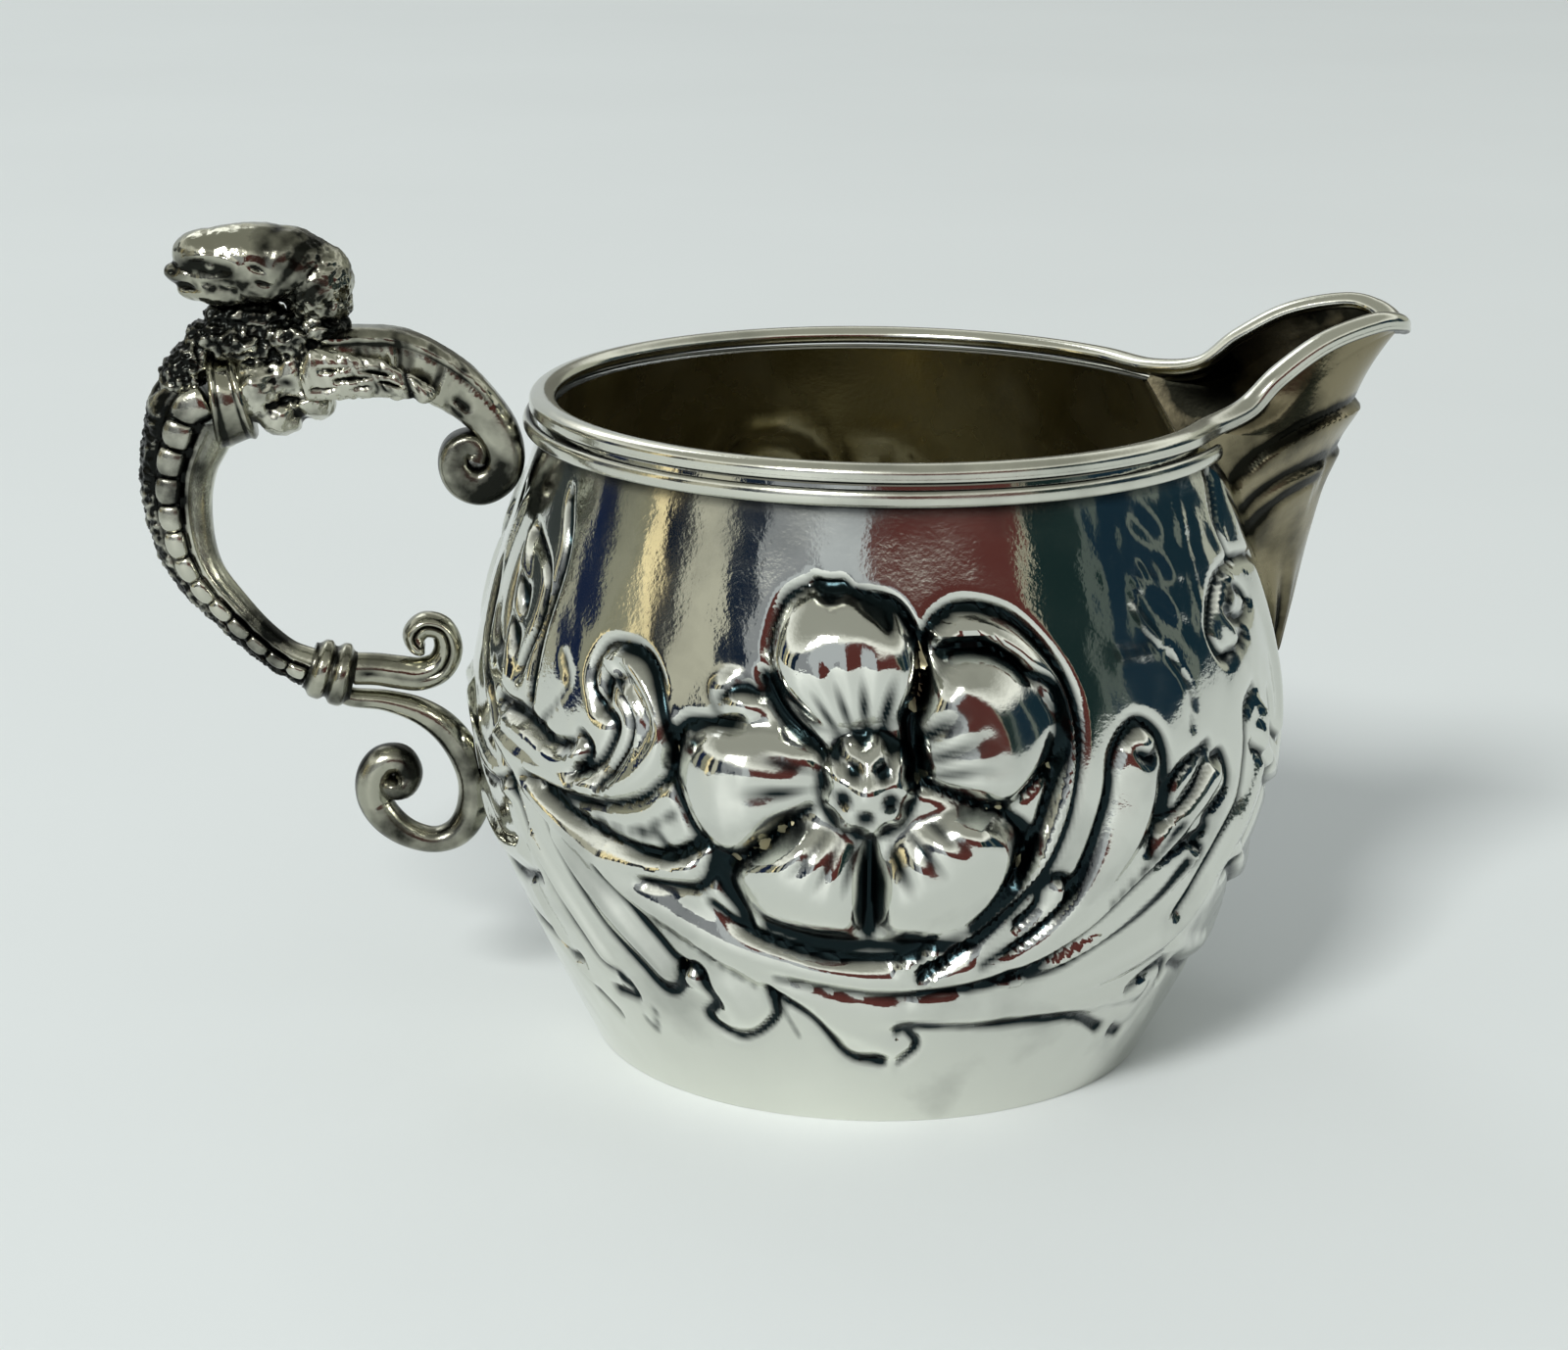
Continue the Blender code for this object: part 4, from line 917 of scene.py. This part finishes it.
def tail_relief(share, turn, reach, height):
    """Mane outside, scales on the flats, a groove and a smooth roll inside."""
    across = np.cos(turn)
    mane = falls(across, -0.60, 0.08)
    rough = roughened(0.55, reach + 1.5 * across, 2.5 * np.sin(turn), height)
    lift = mane * (0.36 * rough - 0.14)
    dark = mane * np.clip(1.45 - 1.2 * rough, 0.3, 1)
    beat = (share ** 0.92 * SCALE_COUNT) % 1.0
    far = np.abs((across + 0.20) / 0.38) ** 3
    far += np.abs((beat - 0.55 - 0.3 * (across + 0.2) ** 2) / 0.50) ** 2.4
    scale = np.clip(1 - far, 0, 1)
    lift += 0.5 * scale ** 0.6
    field = (across > -0.62) & (across < 0.16)
    dark = np.maximum(dark, field * np.clip(0.85 - 5 * scale, 0, 0.85))
    lift -= 0.30 * soft_line(across, 0.16, 0.07) + 0.25 * soft_line(across, -0.60, 0.06)
    dark = np.maximum(dark, soft_line(across, 0.14, 0.07))
    lift += 0.22 * soft_line(across, 0.30, 0.07)
    return lift, dark


cast_bright = silver("cast_silver", (0.41, 0.405, 0.33), (0.016, 0.017, 0.014), (0.07, 0.20), 0.14,
                     3.0, patch=190)
cast_dark = silver("oxidised_silver", (0.55, 0.545, 0.46), (0.011, 0.012, 0.011), (0.09, 0.25), 0.15,
                   3.1, patch=190)
finish_piece(cast_rod("beast_tail", TAIL, TAIL_ROWS, TAIL_SIDES, tail_relief), "handle_tail",
             cast_dark)

# --- handle: belt -----------------------------------------------------------------------------
# A wedge-shaped band between the tail and the haunch, cast with a raised light edge on both sides.

BELT = ((60.3, 60.2, 8.6, 7.3), (59.4, 60.3, 8.4, 7.8), (58.4, 60.5, 7.9, 7.8), (57.3, 60.8, 7.5, 7.5))


def belt_relief(share, turn, reach, height):
    """Raised edges and a shallow hollow between them."""
    edge = soft_line(share, 0.10, 0.09) + soft_line(share, 0.90, 0.09)
    return 0.28 * edge - 0.12, 0.75 * soft_line(share, 0.24, 0.06) + 0.7 * soft_line(share, 0.77, 0.05)


finish_piece(cast_rod("beast_belt", BELT, 40, 72, belt_relief), "handle_belt", cast_bright)

# --- handle: torso ----------------------------------------------------------------------------
# Haunch, belly folds, cuff and shaggy chest, cast in one and left dark in the hollows, with a spot of
# painted shade under the haunch.


HOLLOW_ROUNDS = 14               # rounds of smoothing that show where a surface lies hollow


def lump(name, balls, voxel, smoothing):
    """Balls of (reach, height, side, half length, half height, half depth, tilt) melted into one."""
    bpy.ops.object.select_all(action="DESELECT")
    made = []
    for reach, z, y, long, high, deep, tilt in balls:
        for side in ((1, -1) if y else (1,)):
            bpy.ops.mesh.primitive_uv_sphere_add(
                segments=32, ring_count=20, radius=MM, location=(-reach * MM, side * y * MM, z * MM),
                rotation=(0, math.radians(tilt), 0), scale=(long, deep, high))
            made.append(bpy.context.object)
    for ball in made:
        ball.select_set(True)
    bpy.context.view_layer.objects.active = made[0]
    bpy.ops.object.join()
    piece = bpy.context.object
    piece.name = piece.data.name = name
    bpy.ops.object.transform_apply(location=True, rotation=True, scale=True)
    remesh = piece.modifiers.new("melt", "REMESH")
    remesh.mode = "VOXEL"
    remesh.voxel_size = voxel * MM
    bpy.ops.object.modifier_apply(modifier="melt")
    smooth = piece.modifiers.new("soften", "SMOOTH")
    smooth.iterations = smoothing
    smooth.factor = 0.6
    bpy.ops.object.modifier_apply(modifier="soften")
    bpy.ops.object.shade_smooth()
    piece.select_set(False)
    return piece


def worked(piece, relief, hollow=0.10):
    """Push a lump's surface in or out by relief(x, y, z) and darken its hollows."""
    mesh = piece.data
    count = len(mesh.vertices)
    place, normal = vertex_places(piece), np.empty(3 * count)
    mesh.vertices.foreach_get("normal", normal)
    normal = normal.reshape(-1, 3)
    lift, dark = relief(-place[:, 0], np.abs(place[:, 1]), place[:, 2])
    place = place + normal * lift[:, None]
    ends = np.empty(2 * len(mesh.edges), int)
    mesh.edges.foreach_get("vertices", ends)
    first, second = ends.reshape(-1, 2).T
    links = np.bincount(first, minlength=count) + np.bincount(second, minlength=count)
    soft = place.copy()
    for _ in range(HOLLOW_ROUNDS):
        soft = np.stack([(np.bincount(first, soft[second, k], count)
                          + np.bincount(second, soft[first, k], count)) / links for k in range(3)], axis=1)
    cavity = ((soft - place) * normal).sum(axis=1) / hollow
    move_vertices(piece, place)
    mesh.update()
    mark_points(piece, "tarnish_and_shade", np.maximum(dark, cavity))
    return piece


def bump_at(reach, z, centre, size, tilt=0.0):
    """A soft spot of height 1 at a place in the handle's plane, with its half sizes."""
    c, s = math.cos(math.radians(tilt)), math.sin(math.radians(tilt))
    a, b = reach - centre[0], z - centre[1]
    return np.exp(-((a * c + b * s) / size[0]) ** 2 - ((b * c - a * s) / size[1]) ** 2)


TORSO = (                        # reach, height, side, half length, half height, half depth, tilt
    (56.3, 61.6, 0, 2.7, 3.1, 3.9, 10), (54.4, 59.3, 0, 2.3, 1.9, 3.4, 20),
    (51.6, 60.7, 0, 2.4, 2.0, 3.3, 15), (53.4, 62.9, 0, 2.6, 2.6, 3.4, 0),
    (57.8, 65.9, 0, 4.6, 1.9, 3.1, 8), (53.0, 66.3, 0, 3.9, 2.0, 3.2, 0),
    (62.6, 63.3, 0, 2.0, 3.3, 2.9, 35), (52.0, 63.8, 0, 0.9, 2.9, 3.7, -8),
    (50.6, 67.0, 0, 2.6, 1.6, 3.0, 0), (57.0, 68.0, 0, 4.0, 1.4, 2.3, 0))


def torso_relief(reach, side, z):
    """Shaggy chest above, smooth haunch and folds below, and a spot of painted shade below the haunch."""
    shag = climbs(z, 63.6 + 0.25 * np.maximum(reach - 58, 0), 1.0)
    shag *= 1 - bump_at(reach, z, (56.3, 62.3), (2.6, 2.2))
    shag = np.maximum(shag, climbs(reach, 60.6, 0.7))
    rough = roughened(0.65, reach, side, z)
    lift = shag * (0.42 * rough - 0.2) + 0.4 * roughened(1.5, reach, side, z) - 0.2
    dark = shag * np.clip(1.45 - 1.15 * rough, 0.35, 1)
    fold = soft_line(z + 0.22 * (reach - 54), 60.7, 0.22) * (reach < 55.5) * (reach > 50.8)
    pit = bump_at(reach, z, (53.6, 62.5), (1.0, 0.7), 20)
    # Painted shade: a dark spot below the haunch, with no relief of its own.
    shade_below_haunch = bump_at(reach, z, (57.3, 58.6), (0.8, 1.0))
    return lift - 0.3 * fold - 0.4 * pit, darkest(dark, fold, pit, shade_below_haunch)


finish_piece(worked(lump("beast_torso", TORSO, 0.2, 5), torso_relief), "handle_torso",
             cast_dark)

# --- handle: head -----------------------------------------------------------------------------
# The beast looks away from the jug: a bright domed brow, a long dark eye, a blunt snout over an
# open mouth, and a nape of ridged folds. Cast with the handle; below the brow it is mottled dark with
# tarnish and painted shade, so the top reads bright.

HEAD = (                         # balls of the same kind
    (55.9, 72.9, 0, 7.4, 3.5, 3.7, 3), (60.2, 73.6, 0, 3.3, 2.3, 3.1, 4),
    (61.6, 71.9, 0, 2.4, 1.4, 1.9, -4), (63.3, 72.1, 0, 1.0, 0.8, 1.1, 0),
    (61.3, 70.3, 0, 1.9, 0.85, 1.6, 8), (59.0, 70.6, 0.9, 3.4, 1.5, 1.8, 4),
    (60.0, 71.4, 0, 3.0, 1.7, 2.4, 0), (55.6, 71.2, 1.2, 3.4, 1.7, 2.1, 0),
    (50.6, 70.7, 0, 3.0, 3.7, 3.4, 20), (49.9, 69.0, 0, 2.3, 1.5, 3.0, 0))
EYE = (60.3, 72.85)


def head_relief(reach, side, z):
    """Eye sockets with small eyeballs, a mouth, nostrils, cheek bands and the folds of the nape."""
    flank = climbs(side, 0.9, 0.6)
    socket = bump_at(reach, z, EYE, (2.0, 0.72), 8) * flank
    ball = bump_at(reach, z, (EYE[0] - 0.2, EYE[1]), (0.62, 0.42)) * flank
    lid = np.exp(-((np.hypot((reach - EYE[0]) / 2.6, (z - EYE[1]) / 1.12) - 1) / 0.16) ** 2) * flank
    mouth = bump_at(reach, z, (62.3, 70.95), (1.1, 0.34), 8)
    nostril = bump_at(reach, z, (63.5, 72.2), (0.28, 0.2)) * climbs(side, 0.3, 0.3)
    cheek = soft_line(z + 0.05 * (60 - reach), 71.7, 0.2) * falls(reach, 60.5, 1.5)
    cheek *= 0.5 * climbs(reach, 57, 1.5) * flank
    slits = bump_at(reach, z, (55.9, 72.9), (0.7, 0.2), 25) + bump_at(reach, z, (55.4, 71.5), (0.7, 0.2), 15)
    slits = slits * flank
    back = falls(reach, 56.5, 3.0)
    fan = np.arctan2(z - 66.0, 58.0 - reach)
    ridges = back * (0.5 + 0.5 * np.sin(19 * fan + 0.8 * np.sin(1.7 * side)))
    rough = roughened(0.65, reach, side, z)
    shag = falls(z, 71.2, 1.2) * falls(reach, 56.0, 1.5)
    shag = np.maximum(shag, 0.45 * falls(reach, 53.5, 3))
    mottle = roughened(1.3, reach, side, z)
    lift = (-0.75 * socket + 0.55 * ball + 0.12 * lid - 0.45 * mouth - 0.2 * nostril - 0.22 * cheek
            - 0.35 * slits + 0.2 * ridges * (1 - shag) + shag * (0.32 * rough - 0.16) + 0.08 * mottle - 0.04)
    eye_mark = np.clip(1.45 * socket, 0, 1) - 0.9 * ball ** 2
    mane_mark = shag * np.clip(1.15 - 1.3 * rough, 0.2, 1)
    # Mottled tarnish and painted shade: the head is darkened below the brow, so its top reads bright.
    mottle_and_shade_below = 0.9 * falls(z, 73.5, 3) * np.clip(1.6 * mottle - 0.75, 0, 1)
    return lift, darkest(eye_mark, np.clip(1.5 * mouth, 0, 1), nostril, 0.8 * cheek, slits, mane_mark,
                         0.6 * back * (1 - ridges) ** 3, mottle_and_shade_below)


finish_piece(worked(lump("beast_head", HEAD, 0.15, 7), head_relief), "handle_head",
             cast_bright)

# --- handle: arm ------------------------------------------------------------------------------
# The arm runs from the torso to the rim, plain on its top edge and channelled on both flanks, and
# ends in a volute. Its heel is filed to the body and soldered.

ARM = ((51.0, 63.8, 6.4, 5.0), (49.2, 63.9, 6.3, 5.0), (46.6, 64.1, 6.1, 5.0), (43.6, 63.9, 5.8, 5.0),
       (40.9, 62.9, 5.2, 5.0), (38.3, 61.3, 4.6, 5.0), (36.1, 59.2, 4.0, 5.0), (34.7, 57.2, 3.7, 5.0),
       (34.2, 55.1, 3.6, 5.0), (34.8, 53.4, 3.6, 4.8), (36.4, 52.5, 3.6, 4.6), (38.0, 53.0, 3.4, 4.4),
       (38.8, 54.4, 3.0, 4.3), (38.5, 55.8, 2.7, 4.2), (37.4, 56.4, 2.3, 4.2), (36.7, 55.7, 2.0, 4.4),
       (36.9, 55.0, 2.0, 4.8))
SEAT_TOP = 62.0                  # height up to which a piece is filed to the body


def arm_relief(share, turn, reach, height):
    """A ridge below the plain top, flank ornament, and painted shade where the volute's turns face each
    other.
    """
    across, flank = np.cos(turn), np.abs(np.sin(turn))
    ridge = soft_line(across, -0.55, 0.09)
    curl = climbs(share, 0.46, 0.06)
    channel = climbs(np.abs(across), 0.82, 0.12)
    lift = 0.28 * ridge * (1 - curl)
    # Painted shade: in the volute, the flanks that face the next turn are painted dark.
    dark = channel * curl * 0.85 + 0.9 * soft_line(across, -0.40, 0.07) * (1 - curl)
    beads = 0.5 + 0.5 * np.cos(2 * math.pi * 60 * share)
    row = soft_line(across, -0.28, 0.10) * climbs(share, 0.22, 0.03) * (1 - curl)
    lift += 0.05 * row * beads
    dark = np.maximum(dark, 0.35 * row * (1 - beads))
    leaf = flank ** 3 * (1 - curl) * climbs(share, 0.15, 0.04)
    slots = soft_line(across, 0.12, 0.13) + soft_line(across, 0.55, 0.12)
    slots = slots * leaf * np.clip(0.35 + np.sin(2 * math.pi * 7.5 * share), 0, 1)
    uneven = roughened(1.3, reach + 0.8 * across, 2 * np.sin(turn), height)
    lift += (0.3 * uneven - 0.15) * flank * (1 - curl) - 0.36 * slots
    stain = np.clip(0.9 - 2 * uneven, 0, 1) * flank * (1 - curl)
    return lift, darkest(dark, slots, stain, 0.12 * curl * flank)


def filed_to_body(piece):
    """Push a piece's points that would enter the wall, or the bead, out to them."""
    places = vertex_places(piece)
    radius = np.hypot(places[:, 0], places[:, 1])
    limit = np.where(places[:, 2] > WALL_TOP - BEAD_HEIGHT - 0.4,
                     float(wall_radius(np.array(WALL_TOP - BEAD_HEIGHT))) + BEAD_DEPTH + 0.35,
                     wall_radius(np.clip(places[:, 2], 0, WALL_TOP)) + 0.1)
    limit = np.where(places[:, 2] > SEAT_TOP, 0, limit)
    grow = np.maximum(1, limit / radius)
    move_vertices(piece, places * np.stack([grow, grow, np.ones(len(grow))], axis=1))
    return piece


arm = filed_to_body(cast_rod("beast_arm", ARM, 300, 72, arm_relief, roundness=0.6))
finish_piece(arm, "handle_arm", cast_bright)

# --- handle: wings ----------------------------------------------------------------------------
# A small folded wing lies against each flank of the arm, its feathers parted by deep slots, with a
# cuff at its root and a groove across its tip.

WING = ((52.4, 63.4, 3.8, 1.5), (50.5, 63.3, 4.4, 1.6), (48.0, 63.2, 4.0, 1.6), (45.0, 62.8, 3.2, 1.5),
        (42.4, 62.0, 2.2, 1.4), (40.4, 61.2, 1.2, 1.2))
WING_SIDE = 3.45


def wing_relief(share, turn, reach, height):
    """Three slots between rows of feathers, a cuff, and a groove across the tip."""
    across = np.cos(turn)
    bars = np.zeros(share.shape)
    for middle, start, end in ((-0.38, 0.12, 0.70), (0.08, 0.22, 0.86), (0.50, 0.05, 0.55)):
        slot = soft_line(across, middle + 0.10 * np.sin(9 * share), 0.11)
        bars = np.maximum(bars, slot * climbs(share, start, 0.05) * falls(share, end, 0.08))
    bars *= np.clip(0.75 + np.sin(2 * math.pi * 3.3 * share + 8 * across), 0, 1)
    cuff = soft_line(share, 0.06, 0.05)
    tips = np.exp(-((share - 0.80 - 0.06 * across) / 0.03) ** 2)
    uneven = roughened(1.1, reach + across, 2 * np.sin(turn), height)
    dark = darkest(bars, tips, np.clip(0.85 - 2 * uneven, 0, 1))
    return 0.25 * cuff - 0.45 * bars - 0.25 * tips + 0.3 * uneven - 0.15, dark


for name, sign in (("near", -1), ("far", 1)):
    wing = cast_rod("beast_wing_" + name, WING, 150, 80, wing_relief, middle=sign * WING_SIDE,
                    round_ends=1.0)
    finish_piece(wing, "handle_wing_" + name, cast_dark)

# --- handle: collar and scrolls ---------------------------------------------------------------
# Two raised rings bind the tail to a pair of scrolls. The thumb scroll curls up into a tight
# spiral, and the foot scroll sweeps down to the body, where it is soldered, and curls back up.

COLLAR = ((52.3, 35.6, 4.4, 4.3), (51.2, 35.2, 4.6, 4.6), (50.2, 34.9, 4.8, 4.8), (49.2, 34.6, 4.9, 4.9),
          (48.3, 34.4, 4.6, 4.5))
THUMB_SCROLL = ((48.6, 35.2, 3.0, 3.2), (46.2, 35.1, 3.0, 3.2), (44.2, 34.8, 3.1, 3.3),
                (42.2, 34.6, 3.1, 3.4), (40.4, 35.3, 2.9, 3.4), (39.6, 37.0, 2.7, 3.4),
                (40.1, 38.8, 2.4, 3.4), (41.6, 39.3, 2.4, 3.4), (42.6, 38.5, 2.3, 3.6),
                (42.3, 37.6, 2.3, 3.9), (41.7, 37.6, 2.4, 4.2))
FOOT_SCROLL = ((50.0, 33.3, 1.5, 2.2), (48.6, 32.5, 1.7, 2.4), (45.4, 32.1, 1.9, 2.6),
               (42.4, 31.1, 2.4, 2.9), (40.0, 29.4, 2.8, 3.1), (38.3, 27.0, 3.0, 3.2),
               (37.4, 24.2, 3.0, 3.2),
               (37.6, 21.4, 3.0, 3.2), (38.9, 19.3, 2.7, 3.1), (41.0, 18.5, 2.4, 2.9),
               (43.4, 19.1, 2.6, 2.9), (45.4, 20.6, 3.0, 3.2), (46.6, 22.6, 3.2, 3.4),
               (46.7, 24.7, 3.2, 3.6), (45.8, 26.2, 3.0, 3.6), (44.2, 26.4, 2.8, 3.6),
               (43.4, 25.2, 2.6, 3.8), (43.9, 24.1, 2.8, 4.2), (44.8, 24.2, 3.2, 4.8),
               (44.9, 24.9, 2.8, 4.8))


def collar_relief(share, turn, reach, height):
    """Two round rings with a dark channel between them."""
    rings = np.exp(-((share - 0.27) / 0.16) ** 4) + np.exp(-((share - 0.72) / 0.17) ** 4)
    return 0.5 * rings, np.clip(0.7 - rings, 0, 1)


def thumb_relief(share, turn, reach, height):
    """A line along each flank, which turns into the channel of the spiral."""
    line = soft_line(np.cos(turn), 0.1, 0.16) * climbs(share, 0, 0.1)
    curl = climbs(share, 0.35, 0.15)
    return -(0.14 + 0.25 * curl) * line, line * (0.5 + 0.4 * curl)


def foot_relief(share, turn, reach, height):
    """Nearly plain, with painted shade where the curl faces itself."""
    # Painted shade: where the curl faces its own turn, the flanks are painted dark.
    curl_facing_shade = climbs(share, 0.62, 0.08) * np.clip(np.abs(np.cos(turn)) - 0.75, 0, 0.25) * 4
    knob = 0.6 * climbs(share, 0.87, 0.04)
    return 0.10 * np.sin(turn) ** 2 * (share < 0.75), np.maximum(0.9 * curl_facing_shade, knob)


finish_piece(cast_rod("handle_ring_collar", COLLAR, 60, 64, collar_relief), "handle_collar",
             cast_bright)
finish_piece(cast_rod("handle_thumb_curl", THUMB_SCROLL, 160, 48, thumb_relief, round_ends=0.5),
             "handle_thumb_scroll", cast_bright)
foot = filed_to_body(cast_rod("handle_foot_curl", FOOT_SCROLL, 240, 48, foot_relief, round_ends=0.6))
finish_piece(foot, "handle_foot_scroll", cast_bright)
